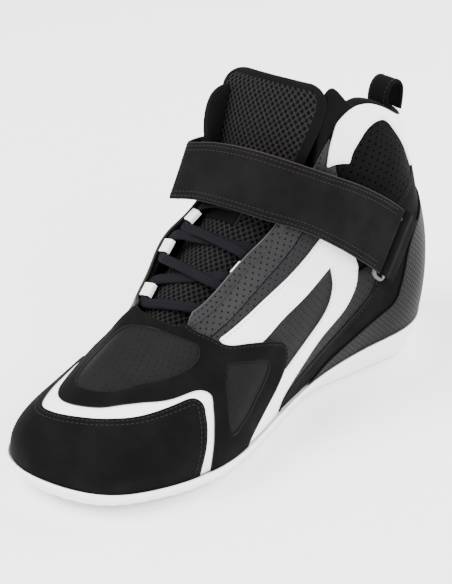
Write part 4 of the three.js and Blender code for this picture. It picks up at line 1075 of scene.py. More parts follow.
# ------------------------------------------------------------------ sole, footbed and collar
class BottomUnit:
    """Cup sole and footbed, in rings round the feather line."""

    AROUND = 320
    COLUMNS = 40
    TREAD = ((-13, -147, 8), (21, -132, 5.2), (38, -104, 2.6), (47, -62, 0), (39, -16, 0), (25, 30, 0),
             (31, 80, 0),
             (33, 118, 0), (2, 142, 0.8), (-27, 118, 0), (-29, 80, 0), (-22, 30, 0), (-31, -16, 0),
             (-44, -68, 0),
             (-46, -106, 2.6), (-38, -134, 5.2))
    WALL = ((-1.6, -0.5), (1.5, -0.5), (1.65, 0.8), (1.9, 1.35), (2.35, 1.5), (2.8, 1.1), (2.95, 0.3),
            (2.9, -1.2),
            (2.6, -1.9), (2.75, 0.0, 0.35), (2.7, 0.0, 0.55), (2.6, 0.0, 0.78))
    BED = ((-5.6, 2.3), (-5.5, 4.6), (-5.9, 6.4), (-7.2, 7.0), (-12.0, 6.2))
    LUG_PITCH = 6.5
    LUG_DEPTH = 1.3
    PLAIN_EDGE = 4

    def __init__(self) -> None:
        self.k = np.arange(self.AROUND) * STATIONS / self.AROUND
        self.rim = FORM.at(self.k, np.zeros(self.AROUND))
        self.out = FORM.normal(self.k, np.zeros(self.AROUND))
        self.base = Curve(self.TREAD, closed=True).at(np.arange(self.AROUND) / self.AROUND)
        self.base[:, 2] = np.maximum(self.base[:, 2], 0)

    def ring(self, reach: float, rise: float, down: float = 0.0) -> np.ndarray:
        """A loop: reach out of the rim, rise above it, and down (0 to 1) towards the tread."""
        top = self.rim + self.out * reach
        low = self.base + self.out * (reach - 2.4)
        p = top * (1 - down) + low * down
        p[:, 2] = self.rim[:, 2] * (1 - down) + self.base[:, 2] * down + rise
        return p

    def walls(self, rows: int, outer: bool) -> list[tuple[int, ...]]:
        """Quads between neighbouring rings, wound for an outer or an inner wall."""
        n = self.AROUND
        faces = []
        for i in range(rows - 1):
            for j in range(n):
                q = (j + 1) % n
                a, b, c, d = i * n + j, (i + 1) * n + j, (i + 1) * n + q, i * n + q
                faces.append((a, b, c, d) if outer else (a, d, c, b))
        return faces

    def cap(self, base: int) -> list[tuple[int, ...]]:
        """Faces straight across the ring whose first point is base."""
        n = self.AROUND
        quads = (dict.fromkeys((i, i + 1, (n - i - 1) % n, (n - i) % n)) for i in range(n // 2))
        return [tuple(base + x for x in quad) for quad in quads if len(quad) > 2]

    def tread(self, rim: np.ndarray, base: int) -> tuple[np.ndarray, list[tuple[int, ...]]]:
        """The tread face with its zigzag grooves.

        Args:
            rim: the lowest ring's points.
            base: index of its first point.

        Returns:
            The new points and the faces.
        """
        n, cols = self.AROUND, self.COLUMNS
        index: dict[tuple[int, int], int] = {}
        extra = []
        for i in range(n // 2 + 1):
            a, b = i, (n - i) % n
            for c in range(cols + 1):
                if c == 0 or a == b:
                    index[i, c] = base + a
                elif c == cols:
                    index[i, c] = base + b
                else:
                    f = c / cols
                    p = rim[a] * (1 - f) + rim[b] * f
                    edge = min(f, 1 - f) * np.linalg.norm(rim[a] - rim[b])
                    zig = abs(((p[0] / 11.0) % 2) - 1) * 5.0
                    groove = abs((((p[1] + zig) / self.LUG_PITCH) % 1) - 0.5) < 0.17
                    index[i, c] = base + n + len(extra)
                    extra.append(p + [0, 0, self.LUG_DEPTH if groove and edge > self.PLAIN_EDGE else 0.0])
        faces = []
        for i in range(n // 2):
            for c in range(cols):
                quad = (index[i, c], index[i, c + 1], index[i + 1, c + 1], index[i + 1, c])
                quad = tuple(dict.fromkeys(quad))
                if len(quad) > 2:
                    faces.append(quad)
        return np.array(extra), faces

    def sole(self) -> bpy.types.Object:
        """The cup sole with its lip, wall and tread."""
        bumps = 0.35 * np.sin(self.k * 16 * math.tau / 4)[:, None]
        bumps = bumps * (np.cos(self.k / STATIONS * math.tau)[:, None] > 0.25)
        rows = [self.ring(*place) for place in self.WALL]
        rows.append(self.ring(2.5, 0.0, 0.93) + self.out * bumps)
        rows += [self.ring(1.6, 0.0, 1.0), self.ring(0.2, 0.0, 1.0)]
        extra, tread = self.tread(rows[-1], (len(rows) - 1) * self.AROUND)
        faces = self.walls(len(rows), True) + tread + self.cap(0)
        obj = make_object("cup_sole", np.vstack([*rows, extra]), faces, [RUBBER])
        fix_normals(obj)
        mark_sharp(obj, 40)
        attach(obj, "shoe")
        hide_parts("outsole")
        return obj

    def footbed(self) -> bpy.types.Object:
        """The moulded footbed inside."""
        p = np.vstack([self.ring(*place) for place in self.BED])
        rows = len(self.BED)
        faces = self.walls(rows, False) + [f[::-1] for f in self.cap(0)] + self.cap((rows - 1) * self.AROUND)
        obj = make_object("footbed_insole", p, faces, [GREY_KNIT], None, p[:, :2])
        fix_normals(obj)
        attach(obj, "shoe")
        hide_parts("footbed")
        return obj


ROLL = ((0.63, -5.4), (0.8, -5.3), (0.95, -5.2), (0.985, -4.4), (0.988, -2.4), (0.996, -1.4), (1.012, -0.95),
        (1.034, -1.3), (1.05, -3.8), (1.046, -8), (1.016, -11.6), (0.93, -13.2), (0.8, -12.2), (0.68, -9.5),
        (0.63, -7.2))
ROLL_ENDS = (5.42, 10.9)


def collar_roll() -> bpy.types.Object:
    """The padded collar roll, receding over the white panels and swelling in front of them."""
    around, count = 72, 170
    profile = Curve(ROLL, closed=True).at(np.arange(around) / around)
    first, last = ROLL_ENDS
    rings = []
    for k in np.linspace(first, last, count):
        full = min(1.0, (max(min(k - first, last - k), 0.0) / 0.35)) ** 0.5
        thin = 1 - 0.62 * min(max((k - 9.4) / 0.7, 0.0), 1.0)
        inner = np.where(profile[:, 1] < -5.3, (0.25 + 0.75 * full) * thin, 1)
        deep = -5.3 + (profile[:, 1] + 5.3) * inner
        tall = (0.3 - 0.28 * math.exp(-((k - 6.1) / 0.15) ** 2) + 1.35 * math.exp(-((k - 5.76) / 0.24) ** 4)
                + 0.7 * np.clip((k - 9.3) / 0.5, 0, 1))
        rise = np.where(profile[:, 0] > 1, 1 + (profile[:, 0] - 1) * tall * (0.4 + 0.6 * full), profile[:, 0])
        soft = 0.35 * math.sin(k * 7.3) * np.clip((profile[:, 0] - 0.9) * 8, 0, 1)
        rings.append(FORM.lift(np.full(around, k), rise, deep + soft))
    uvs = weave(np.arange(count) * 1.6, np.arange(around) * 1.4)
    roll = sweep("collar_roll", np.array(rings), [KNIT], uvs=uvs)
    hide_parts("collar_padding")
    return roll


@dataclass(frozen=True)
class Rim:
    """A bound edge along the throat.

    Attributes:
        name: object name.
        ends: first and last station.
        edge: finish of its inner face.
        section: closed section, (out of the edge, above the form) in mm.
    """

    name: str
    ends: tuple[float, float]
    edge: Finish
    section: tuple

    def build(self) -> bpy.types.Object:
        """Sweeps the section, tapered at its front end."""
        count, around, root = 120, 48, 4.2
        ks = np.linspace(*self.ends, count)
        line = FORM.lift(ks, np.full(count, 0.998), np.zeros(count))
        n = FORM.normal(ks, np.full(count, 0.98))
        side = unit(np.cross(unit(np.gradient(line, axis=0)), n))
        shape = Curve(self.section, closed=True).at(np.arange(around) / around)
        grow = np.sqrt(np.clip(np.linspace(0.02, 8.0, count), 0, 1))[:, None, None]
        ring = (line[:, None] + side[:, None] * (root + (shape[None, :, :1] - root) * grow)
                + n[:, None] * shape[None, :, 1:])
        mats = [1 if x < shape[:, 0].min() + 0.55 else 0 for x in shape[:, 0]]
        band = sweep(self.name, ring, [PERFORATED, self.edge], mats=mats,
                     uvs=weave(np.arange(count) * 1.05, shape[:, 0]))
        return band


RIMS = (
    Rim("rim_lateral", (1.9, 5.3), GREY_EDGE,
        ((4.1, -3.0), (3.8, -1.7), (3.3, -0.95), (2.2, -0.55), (0.6, 0.1), (-1.0, 0.55), (-2.4, 0.45),
        (-3.2, 0.1),
         (-3.45, -0.5), (-3.2, -1.05), (-2.0, -1.3), (0.0, -1.7), (2.2, -3.2))),
    Rim("rim_medial", (11.0, 14.95), CUT_EDGE,
        ((4.2, -1.9), (3.6, -1.2), (2.2, -0.9), (0.8, -0.6), (-0.4, -0.6), (-1.2, -0.9), (-1.5, -1.4),
        (-1.2, -2.0),
         (0.0, -2.4), (2.2, -2.6))))


# ------------------------------------------------------------------ tongue
class Tongue:
    """The padded spacer-mesh tongue, one piece."""

    SPINE = ((-9, -78, 62), (-9, -61, 74), (-9, -41, 88.5), (-9, -23, 102.5), (-8.5, -6, 117.5),
             (-8, 7, 132.5),
             (-6.5, 14, 160), (-6.5, 23.5, 182), (-6.5, 32, 202.5))
    HALF = (13, 16, 22, 25, 27, 28, 30.5, 34.5, 35.5)
    DROP = (5, 7, 9, 11, 12, 12, 8.5, 7, 6)
    THICK = 6.0
    BEND = (0.78, 0.83)

    def __init__(self) -> None:
        self.curve = Curve(self.SPINE)
        self.index = np.arange(9) / 8
        self.across = unit(np.array([1, 0.16, 0.0]))

    def half(self, s: np.ndarray) -> np.ndarray:
        """Half width at s, rounded off at the top corners."""
        x = np.clip((s - 0.925) / 0.075, 0, 1)
        return np.interp(s, self.index, self.HALF) * (1 - 0.42 * (1 - np.sqrt(1 - x * x)))

    def at(self, s: ArrayLike, r: ArrayLike, h: ArrayLike) -> np.ndarray:
        """Points at s along, r across (-1 to 1) and h above the front face."""
        s, r, h = np.broadcast_arrays(np.asarray(s, float), np.asarray(r, float), np.asarray(h, float))
        c = self.curve.at(s)
        n = unit(np.cross(self.across, self.curve.tangent(s)))
        half = self.half(s)
        drop = np.interp(s, self.index, self.DROP)
        return c + self.across * (r * half)[..., None] + n * (h - drop * r * r)[..., None]

    @staticmethod
    def holes(u: np.ndarray, v: np.ndarray) -> np.ndarray:
        """How far inside a hole of the mesh each point lies, in step with the finish's own holes."""
        pitch, size = SPACER.pitch, SPACER.hole
        row = np.floor(v / pitch[1])
        fu = (((u + (np.abs(row) % 2) * pitch[0] / 2) / pitch[0]) % 1 - 0.5) * pitch[0] * 2 / size[0]
        fv = ((v / pitch[1]) % 1 - 0.5) * pitch[1] * 2 / size[1]
        return 1 - np.clip((np.sqrt(fu * fu + fv * fv) - 0.65) / 0.7, 0, 1)

    def pad(self) -> bpy.types.Object:
        """The padded tongue with its mesh holes and its bound edge."""
        rows, cols, coarse, bound = 480, 150, 6, 4.0
        s = np.concatenate([np.linspace(0, 0.975, rows - 24), 1 - 0.025 * np.linspace(1, 0, 25)[1:] ** 2])
        length = lengths(self.curve.at(s))
        along, across = np.meshgrid(s, np.sin(np.linspace(-1, 1, cols) * math.pi / 2), indexing="ij")
        u = across * np.interp(along, self.index, self.HALF)
        v = np.repeat(length[:, None], cols, 1)
        far = np.minimum((1 - np.abs(across)) * self.half(along), length[-1] - v)
        curl = np.sqrt(1 - np.clip(1 - far / bound, 0, 1) ** 2)
        seam = 0.5 * np.exp(-((far - 4.2) / 0.7) ** 2)
        drape = 0.4 * np.sin(v * 0.11 + u * 0.05) * np.sin(u * 0.13)
        half = self.THICK / 2
        crown = 1.6 * (1 - np.abs(across) ** 3) * np.clip((length[-1] - v) / 9, 0, 1) - seam
        crown = crown - 0.85 * self.holes(u, v) * np.clip((far - 4.2) / 1.2, 0, 1) + drape
        front = self.at(along, across, -half + (half + crown) * curl)
        thin = slice(None, None, coarse)
        back = self.at(along[:, thin], across[:, thin], -half - (half - 0.6) * curl[:, thin])
        backs = back.shape[1]
        uvs = np.vstack([np.stack([g.ravel(), h.ravel()], -1) for g, h in ((u, v), (u[:, thin], v[:, thin]))])
        fi = lambda i, j: i * cols + j
        bi = lambda i, j: rows * cols + i * backs + j
        faces, mats = [], []
        for i in range(rows - 1):
            for j in range(cols - 1):
                faces.append((fi(i, j), fi(i, j + 1), fi(i + 1, j + 1), fi(i + 1, j)))
                mats.append(0 if far[i, j] > bound else 1)
            for j in range(backs - 1):
                faces.append((bi(i, j), bi(i + 1, j), bi(i + 1, j + 1), bi(i, j + 1)))
                mats.append(1)
            faces.append((fi(i, 0), fi(i + 1, 0), bi(i + 1, 0), bi(i, 0)))
            faces.append((fi(i, cols - 1), bi(i, backs - 1), bi(i + 1, backs - 1), fi(i + 1, cols - 1)))
            mats += [1, 1]
        for i in (0, rows - 1):
            faces.append((*(fi(i, j) for j in range(cols)), *(bi(i, j) for j in range(backs - 1, -1, -1))))
            mats.append(1)
        verts = np.vstack([front.reshape(-1, 3), back.reshape(-1, 3)])
        obj = make_object("tongue_pad", verts, faces, [SPACER, KNIT], mats, uvs)
        fix_normals(obj)
        start, end = (Vector(self.at(x, 0.0, 0.0) * MM) for x in self.BEND)
        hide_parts("tongue", "tongue_top")
        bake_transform(obj)
        return obj

    def patch(self) -> bpy.types.Object:
        """The smooth patch under the strap."""
        count = 24
        along, across = np.meshgrid(np.linspace(0.53, 0.72, count), np.linspace(-0.78, 0.26, count),
                                    indexing="ij")
        top = self.at(along, across, np.full(along.shape, 2.3))
        low = self.at(along, across, np.full(along.shape, 0.2))
        u = np.concatenate([across, across[:, ::-1]], 1) * 26
        v = np.concatenate([along, along], 1) * 190
        patch = sweep("tongue_patch_cut", np.concatenate([top, low[:, ::-1]], 1), [NUBUCK, CUT_EDGE],
                      mats=([0] * (count - 1) + [1]) * 2, uvs=np.stack([u, v], -1).reshape(-1, 2))
        mark_sharp(patch, 40)
        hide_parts("tongue_patch")
        return patch


# ------------------------------------------------------------------ lacing
class Lacing:
    """Tape loops at the throat's edges and the flat lace through them."""

    MEDIAL = (13.75, 12.4, 11.55)
    LATERAL = (2.98, 3.78, 4.5)
    WIDTH = 6.0
    THICK = 2.3
    TUCK = (1.6, 0.0, 1.6)
    PLACE = {1: (6.2, -2.4, 0.0), -1: (-1.7, 0.0, -6.6)}

    def __init__(self, tongue: Tongue) -> None:
        self.tongue = tongue
        self.medial = [self.frame(k, 1) for k in self.MEDIAL]
        self.lateral = [self.frame(k, -1, tuck) for k, tuck in zip(self.LATERAL, self.TUCK)]

    def frame(self, k: float, side: int, tuck: float = 0.0) -> dict[str, np.ndarray]:
        """Centre and directions of one loop, tucked some millimetres further under the edge."""
        p = FORM.at(k, 1.0)
        e = unit(FORM.at(k + 0.1, 1.0) - FORM.at(k - 0.1, 1.0))
        e = e if e[2] > 0 else -e
        c = unit(p - FORM.at(k, 0.93))
        c = unit(np.array([1.0, 0.0, 0.0]) + c * 0.5) if side > 0 else c
        c = unit(c - e * (c @ e))
        n = unit(np.cross(e, c))
        n = n if n[2] > 0 else -n
        reach, rise, sink = self.PLACE[side]
        return {"e": e, "c": c, "n": n, "p": p + c * (reach - tuck) + n * rise + FORM.normal(k, 0.98) * sink}

    @staticmethod
    def oval(x: float, y: float) -> np.ndarray:
        """A flat oval of half sizes x and y, squared off."""
        angle = np.arange(40) / 40 * math.tau
        blunt = lambda w: np.sign(w) * np.abs(w) ** 0.4
        return np.stack([blunt(np.cos(angle)) * x, blunt(np.sin(angle)) * y], 1)

    def loops(self) -> list[bpy.types.Object]:
        """The white tape loops."""
        a, b, tape, length = self.WIDTH / 2 + 0.4, self.THICK / 2 + 0.15, 0.6, 8.2
        outer, inner = self.oval(a + tape, b + tape), self.oval(a, b)
        near = outer * 0.96 + inner * 0.04
        rows = [(inner, -0.5), (near, -0.5), (outer, -0.46), (outer, 0.46), (near, 0.5), (inner, 0.5)]
        uvs = weave(np.array([z for _, z in rows]) * length, np.arange(40) * 0.55)
        made = []
        for side, frames in (("medial", self.medial), ("lateral", self.lateral)):
            for i, f in enumerate(frames):
                rings = np.array([[f["p"] + f["c"] * x + f["n"] * y + f["e"] * z * length for x, y in ring]
                                  for ring, z in rows])
                name = f"lace_loop_{side}_{i + 1}"
                obj = sweep(name + "_tape", rings, [WEBBING], closed=True, uvs=uvs)
                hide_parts(name)
                made.append(obj)
        return made

    def path(self) -> tuple[np.ndarray, np.ndarray]:
        """The lace's line and its upward directions."""
        path: list[tuple[np.ndarray, np.ndarray]] = []
        m, l = self.medial, self.lateral

        def through(f: dict, up: bool) -> None:
            """Runs through a loop, upwards or downwards."""
            for s in (-6.2, -3, 3, 6.2):
                path.append((f["p"] + f["e"] * s * (1 if up else -1), f["n"]))

        def cross(f: dict, g: dict, up_f: bool, up_g: bool, high: float) -> None:
            """Crosses the throat from the end of one loop to the end of another."""
            a = f["p"] + f["e"] * (8.2 if up_f else -8.2) + f["c"] * 4.4
            b = g["p"] + g["e"] * (8.2 if up_g else -8.2) + g["c"] * 4.4
            n = unit(f["n"] + g["n"])
            path.append((a + n * high * 0.4, n))
            for x in (0.3, 0.5, 0.7):
                path.append((a * (1 - x) + b * x + n * (high + 1.2 * (0.25 - (x - 0.5) ** 2) * 4), n))
            path.append((b + n * high * 0.4, n))

        def tail(f: dict, side: int, s0: float, s1: float) -> list[tuple[np.ndarray, np.ndarray]]:
            """Runs in from a loop under the strap."""
            out = [(f["p"] + f["e"] * 8.4 + f["c"] * 4.2 + f["n"] * 1.4, f["n"])]
            for i in range(1, 5):
                out.append((self.tongue.at(s0 + (s1 - s0) * i / 4, side * (0.56 - 0.27 * i), 4.4), f["n"]))
            return out

        path += tail(m[2], -1, 0.585, 0.6)[::-1]
        stops = ((m[2], False), (l[1], False), (m[0], False), (l[0], True), (m[1], True), (l[2], True))
        through(*stops[0])
        for (f, up_f), (g, up_g), high in zip(stops, stops[1:], (2.6, -0.4, 1.2, 2.6, -0.4)):
            cross(f, g, up_f, not up_g, high)
            through(g, up_g)
        path += tail(l[2], 1, 0.68, 0.69)
        return np.array([p for p, _ in path]), np.array([n for _, n in path])

    def lace(self) -> bpy.types.Object:
        """The lace along its whole route."""
        points, ups = self.path()
        around = 28
        s = np.linspace(0, 1, 900)
        line = Curve(points).at(s)
        tan = Curve(points).tangent(s)
        up = Curve(ups).at(s)
        up = unit(up - tan * dot(up, tan))
        side = np.cross(tan, up)
        a = np.arange(around) / around * math.tau
        x = np.cos(a) * self.WIDTH / 2
        y = np.sin(a) * self.THICK / 2 * (1 - 0.34 * np.exp(-(x / 0.55) ** 2))
        rings = line[:, None] + side[:, None] * x[None, :, None] + up[:, None] * y[None, :, None]
        obj = sweep("lace_cord", rings, [CORD], uvs=weave(lengths(line), np.arange(around) * 0.5))
        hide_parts("lace")
        return obj


# ------------------------------------------------------------------ strap
class Strap:
    """The instep strap: lower run, fold round the ring, flap and tip."""

    TOP = ((-48.5, 40, 151), (-48, 16, 156.6), (-40, -0.6, 161), (-21, 1.6, 166), (6, 3.7, 169.6),
           (24.5, 14.8, 165),
           (35, 35.5, 153.7), (41.5, 59.5, 140), (45, 82, 124.2), (47, 95, 113))
    LOW = ((-50, 28, 116), (-49, 8, 121), (-45, -12, 127), (-24, -11.5, 133), (2, -8, 135), (20, -2.5, 133.4),
           (33, 19.5, 122), (41, 39, 108), (45.5, 61.5, 89.6), (48, 73, 79))
    THICK = 1.6
    BAR = 3.0
    FOLD = 0.977
    STEPS = 36
    WIDTH = 36
    TIP = 14.5 / STEPS

    def __init__(self) -> None:
        self.top = Curve(self.TOP)
        self.low = Curve(self.LOW)
        self.bar = -self.THICK - 0.4 - self.BAR / 2

    def frame(self, s: ArrayLike) -> dict[str, np.ndarray]:
        """Edges and directions of the band at s."""
        s = np.asarray(s, float)
        a, b = self.top.at(s), self.low.at(s)
        along = unit(self.top.tangent(s) + self.low.tangent(s))
        wide = unit(b - a)
        return {"a": a, "b": b, "along": along, "wide": wide, "n": -unit(np.cross(along, wide))}

    def under_top(self, s: np.ndarray) -> np.ndarray:
        """Height of the lower run's outer face."""
        level = np.minimum(-self.THICK - 0.6, -4.0 * np.clip((0.56 - s) / 0.08, 0, 1))
        turn = np.clip((s - 0.8) / 0.15, 0, 1)
        return level + (self.bar - self.BAR / 2 - 0.4 - level) * turn * turn * (3 - 2 * turn)

    def band(self, name: str, s: np.ndarray, mid: np.ndarray, thick: float, inset: float,
             finishes: list[Finish], body: str | None, arc: list[tuple[float, float, float]] = (),
             turn: int = -1) -> bpy.types.Object:
        """A flat band along the strap's line.

        Args:
            name: object name.
            s: stations.
            mid: height of the band's middle plane at each station.
            thick: thickness in mm.
            inset: how much narrower than the strap on each side.
            finishes: face finish, edge finish.
            body: the CAD body it rides.
            arc: extra (along, height, tilt) stations past the last, for the fold.
            turn: 1 where the fold's outer side continues the band's face, -1 where its inner side does.

        Returns:
            The object.
        """
        f = self.frame(s)
        a, b, n = f["a"], f["b"], f["n"]
        width = np.linalg.norm(b - a, axis=-1)
        r = thick / 2
        rows = []
        near = np.array([0.0, 0.05, 0.2, 0.5, 1.0]) * 2.2
        v = np.concatenate([near, np.linspace(3.4, 30, 15), self.WIDTH - near[::-1]])
        edge = np.minimum(v, self.WIDTH - v)
        swell = r * np.sqrt(np.clip(1 - np.clip(1 - edge / (r * 1.1), 0, 1) ** 2, 0, 1))
        swell = swell + 0.18 * np.clip(edge / 9, 0, 1)
        for i in range(len(s)):
            w = width[i] - 2 * inset
            at = a[i] + f["wide"][i] * (inset + v / self.WIDTH * w)[:, None]
            wave = 0.12 * math.sin(s[i] * 37) * np.sin(v / self.WIDTH * 5 + s[i] * 9)
            face = at + n[i] * (mid[i] + swell + wave)[:, None]
            back = at + n[i] * (mid[i] - swell + wave)[:, None]
            rows.append(np.vstack([face, back[::-1]]))
        e = {key: value[-1] for key, value in f.items()}
        w = width[-1] - 2 * inset
        for u, h, tilt in arc:
            at = e["a"] + e["wide"] * (inset + v / self.WIDTH * w)[:, None] + e["along"] * u
            out = e["along"] * math.cos(tilt) + e["n"] * math.sin(tilt)
            at = at + e["n"] * h
            away = out * turn * swell[:, None]
            rows.append(np.vstack([at + away, (at - away)[::-1]]))
        rings = np.array(rows)
        mats = [1 if x < 0.4 or x > 35.5 else 0 for x in v]
        mats += mats[::-1]
        mats[len(v) - 1] = mats[-1] = 1
        uvs = weave(lengths(rings[:, len(v) // 2]), np.concatenate([v, v[::-1]]))
        return sweep(name, rings, finishes, mats=mats, uvs=uvs, body=body)

    def build(self) -> list[bpy.types.Object]:
        """Every piece of the strap."""
        return [self.flap(), self.thread(), self.under(), *self.piles(), *self.hardware()]

    def bend(self) -> tuple[tuple, tuple]:
        """Where the tip's bend starts and ends."""
        hinge = self.frame(self.TIP)
        middle = (hinge["a"] + hinge["b"]) / 2
        return tuple((middle + hinge["along"] * 10) * MM), tuple((middle - hinge["along"] * 10) * MM)

    def flap(self) -> bpy.types.Object:
        """Flap and tip in one band, folded round the ring's bar."""
        count, r = 260, self.BAR / 2 + 0.45 + self.THICK / 2
        turns = np.linspace(math.pi / 2 - 0.1, -1.0, 24)
        fold = [(math.cos(a) * r, self.bar + math.sin(a) * r, a) for a in turns]
        s, mid = np.linspace(0.0, self.FOLD, count), np.full(count, -self.THICK / 2)
        # The flap takes the lighter nubuck copy, painted light on its upward face.
        flap = self.band("strap_flap_band", s, mid, self.THICK, 0.0, [LIT_STRAP_NUBUCK, CUT_EDGE], None, fold, 1)
        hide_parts("strap_flap", "strap_tip")
        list(self.bend())
        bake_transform(flap)
        return flap

    def thread(self) -> bpy.types.Object:
        """Two sewn rows along each edge of the flap."""
        rows = []
        x = np.linspace(0.02, self.FOLD - 0.02, 320)
        f = self.frame(x)
        width = np.linalg.norm(f["b"] - f["a"], axis=-1, keepdims=True)
        for v in (2.3, 5.0, -5.0, -2.3):
            off = v if v > 0 else width + v
            wave = 0.12 * np.sin(x * 37) * np.sin((off / width * 5)[..., 0] + x * 9)
            rows.append((f["a"] + f["wide"] * off + f["n"] * (0.16 + wave)[:, None], f["n"]))
        thread = stitches("strap_thread", rows, None)
        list(self.bend())
        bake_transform(thread)
        return thread

    def under(self) -> bpy.types.Object:
        """The lower run, folded up round the ring's bar."""
        last = 34 / self.STEPS
        x = np.linspace(2 / self.STEPS, last, 220)
        r = self.BAR / 2 + 0.2 + self.THICK / 2
        arc = [(math.cos(a) * r + (self.FOLD - last) * 168, self.bar + math.sin(a) * r, a)
               for a in np.linspace(-math.pi / 2, 0.2, 22)]
        under = self.band("strap_under_band", x, self.under_top(x) - self.THICK / 2, self.THICK, 1.0,
                          [NUBUCK, CUT_EDGE], "shoe", arc)
        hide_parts("strap_under")
        return under

    def piles(self) -> list[bpy.types.Object]:
        """The hook pile under the tip and the loop pile it sits on."""
        made = []
        for name, first, last, high, body in (("hook_patch", 1, 8, -self.THICK - 0.6, "strap_tip"),
                                              ("loop_patch", 3, 16, -self.THICK - 1.75, "shoe")):
            x = np.linspace(first / self.STEPS, last / self.STEPS, 60)
            obj = self.band(name + "_pile", x, np.full(60, high), 0.6, 4.0, [KNIT, KNIT], body)
            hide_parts(name)
            made.append(obj)
        return made

    def hardware(self) -> list[bpy.types.Object]:
        """The ring and the tab that holds it."""
        f = self.frame(self.FOLD)
        length = float(np.linalg.norm(f["b"] - f["a"]))
        place = lambda u, v, n: f["a"] + f["along"] * u + f["wide"] * v + f["n"] * n
        deep, r = 9.0, 2.6
        path = []
        far = length + 2.2 - r
        corners = ((deep - r, 5.0 + r, -90), (deep - r, far, 0), (r, far, 90), (r, 5.0 + r, 180))
        for u, v, start in corners:
            for step in range(7):
                a = math.radians(start + step * 15)
                path.append(place(u + math.cos(a) * r, v + math.sin(a) * r, self.bar))
        line = np.array(path)
        tan = unit(np.roll(line, -1, 0) - np.roll(line, 1, 0))
        side = unit(np.cross(tan, f["n"]))
        a = np.arange(20) / 20 * math.tau
        rings = (line[:, None] + side[:, None] * (np.cos(a) * self.BAR / 2)[None, :, None]
                 + f["n"] * (np.sin(a) * self.BAR / 2)[None, :, None])
        ring = sweep("ring", rings, [STEEL], closed=True)
        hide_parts("strap_ring")
        r = self.BAR / 2 + 0.3
        section = []
        for step in range(15):
            a = math.pi / 2 + step / 14 * math.pi
            section.append((deep + math.cos(a) * (r + 1.3), self.bar + math.sin(a) * (r + 1.3)))
        section += [(deep + x, self.bar + y) for x, y in (
            (13, -r - 1.9), (13.3, -r - 0.4), (12.6, -r + 0.5), (6, r * 0.2), (3, r * 0.9))]
        section = [(x - 1.4 if x < deep else x, y) for x, y in section]
        section = Curve(section, closed=True).at(np.arange(72) / 72)
        rows = [(-0.8, 0.96), (-0.4, 1.0), (length / 2, 1.0), (length - 1.2, 1.0), (length - 0.8, 0.96)]
        mid = np.mean(section, 0)
        rings = np.array([[place(mid[0] + (x - mid[0]) * g, v, mid[1] + (y - mid[1]) * g) for x, y in section]
                          for v, g in rows])
        tab = sweep("ring_anchor_tab", rings, [NUBUCK])
        mark_sharp(tab, 50)
        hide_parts("ring_anchor")
        return [ring, tab]


def pull_loop() -> list[bpy.types.Object]:
    """The heel pull loop and its sewn tab."""
    top = FORM.at(8.0, 1.0)
    line = Curve([(top[0], top[1] + 2.0 + y, top[2] + z) for y, z in (
        (2.3, -2.6), (2.8, 1), (3.2, 6), (2.6, 12), (-1, 16.2), (-6, 16.6), (-10, 13.5), (-11.8, 8.5),
        (-12.0, 3.5),
        (-11.2, -1.5))])
    s = np.linspace(0, 1, 70)
    p, t = line.at(s), line.tangent(s)
    n = np.stack([np.zeros(70), t[:, 2], -t[:, 1]], -1)
    wide = 15
    v = np.concatenate([[0, 0.1, 0.35, 0.8], np.linspace(2, 13, 9), [14.2, 14.65, 14.9, wide]])
    thick = 0.95 * np.sqrt(np.clip(1 - np.clip(1 - np.minimum(v, wide - v) / 0.9, 0, 1) ** 2, 0, 1))
    centre = p[:, None] + np.stack([v - wide / 2, 0 * v, 0 * v], -1)[None]
    swell = n[:, None] * thick[None, :, None]
    rings = np.concatenate([centre + swell, (centre - swell)[:, ::-1]], 1)
    uvs = weave(s * 46, np.concatenate([v, v[::-1]]))
    loop = sweep("pull_loop_tape", rings, [NUBUCK], uvs=uvs, body=None)
    start, end = (tuple(Vector((top[0], top[1], top[2] + z)) * MM) for z in (0.5, 12.0))
    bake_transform(loop)
    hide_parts("pull_loop")
    rows = [(p[3:-3] + n[3:-3] * 0.97 + [x, 0, 0], n[3:-3]) for x in (-5.6, 5.6)]
    thread = stitches("pull_loop_thread", rows, None)
    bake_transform(thread)
    tab = Panel("pull_loop_tab", [
        [(7.76, 0.82), (8.24, 0.82)], [(8.24, 0.82), (8.24, 0.972)], [(8.24, 0.972), (7.76, 0.972)],
        [(7.76, 0.972), (7.76, 0.82)]], Ply.THIRD, NUBUCK, slot="nubuck",
        seams=[(0, (1.6,)), (1, (1.6,)), (3, (1.6,))])
    return [loop, thread, *tab.build()]


# ------------------------------------------------------------------ studio
AIM = Vector((-0.0055, -0.0045, 0.077))
AZIMUTH = math.radians(45)
ELEVATION = math.radians(30)
DISTANCE = 0.85
LAMPS = (("key", (-0.5, -1.0, 1.35), 1.0, 60.0), ("side", (1.5, -0.2, 0.9), 1.3, 34.0),
         ("back", (0.2, 1.3, 1.3), 1.1, 40.0))


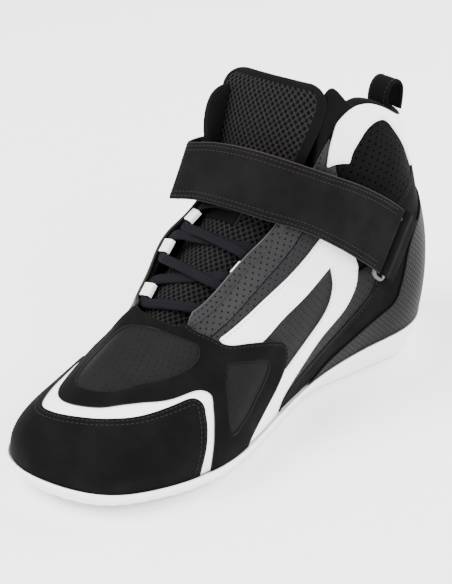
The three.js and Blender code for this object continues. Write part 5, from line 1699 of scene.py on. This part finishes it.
def studio() -> None:
    """Pale floor and soft light."""
    bpy.ops.mesh.primitive_plane_add(size=6.0, location=(0, 0, -0.0003))
    floor = bpy.context.active_object
    floor.name = "floor"
    paper = bpy.data.materials.new("paper")
    paper.use_nodes = True
    shader = paper.node_tree.nodes["Principled BSDF"]
    shader.inputs["Base Color"].default_value = (0.96, 0.96, 0.96, 1.0)
    shader.inputs["Roughness"].default_value = 0.9
    floor.data.materials.append(paper)
    lamps = []
    for name, place, size, power in LAMPS:
        data = bpy.data.lights.new(name, "AREA")
        data.size = size
        data.energy = power
        lamp = bpy.data.objects.new(name, data)
        lamp.location = place
        lamp.rotation_euler = (Vector((0, 0, 0.08)) - Vector(place)).to_track_quat("-Z", "Y").to_euler()
        bpy.context.scene.collection.objects.link(lamp)
        lamps.append(lamp)
    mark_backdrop(floor, *lamps)
    world = bpy.data.worlds.new("studio")
    world.use_nodes = True
    background = world.node_tree.nodes["Background"].inputs
    background["Color"].default_value = (1.0, 1.0, 1.0, 1.0)
    background["Strength"].default_value = 1.8
    bpy.context.scene.world = world


def view() -> None:
    """The camera, from the front on the lateral side."""
    back = Vector((math.sin(AZIMUTH) * math.cos(ELEVATION), -math.cos(AZIMUTH) * math.cos(ELEVATION),
                   math.sin(ELEVATION)))
    camera = bpy.data.objects.new("camera", bpy.data.cameras.new("camera"))
    camera.data.lens = 89.3
    camera.data.sensor_width = 36.0
    camera.location = AIM + back * DISTANCE
    camera.rotation_euler = (-back).to_track_quat("-Z", "Y").to_euler()
    bpy.context.scene.collection.objects.link(camera)
    bpy.context.scene.camera = camera


def note_size(sizes: dict, key: str) -> None:
    """Keeps the shown object's size under a name."""
    low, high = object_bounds()
    sizes[key] = [[round(float(x), 5) for x in low], [round(float(x), 5) for x in high]]


def report(*pieces: bpy.types.Object) -> None:
    """Logs finished pieces."""
    for piece in pieces:
        LOG.info("%s: %d faces", piece.name, len(piece.data.polygons))


def main() -> None:
    logging.basicConfig(level=logging.INFO, format="%(message)s")
    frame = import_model()
    sizes: dict = {}
    note_size(sizes, "cad")
    for panel in (*inner_panels(), *second_panels(), *outer_panels()):
        report(*panel.build())
    bottom = BottomUnit()
    report(bottom.sole(), bottom.footbed())
    report(collar_roll(), *(rim.build() for rim in RIMS))
    tongue = Tongue()
    report(tongue.pad(), tongue.patch())
    lacing = Lacing(tongue)
    report(*lacing.loops(), lacing.lace())
    report(*Strap().build())
    report(*pull_loop())
    for node, finish in (("shank", STEEL), ("insole_board", BOARD)):
        obj = frame["nodes"][node]
        obj.data.materials.clear()
        obj.data.materials.append(PALETTE[finish])
        report(obj)
    studio()
    view()
    note_size(sizes, "looks")
    LOG.info("sizes %s", sizes)


if __name__ == "__main__":
    main()
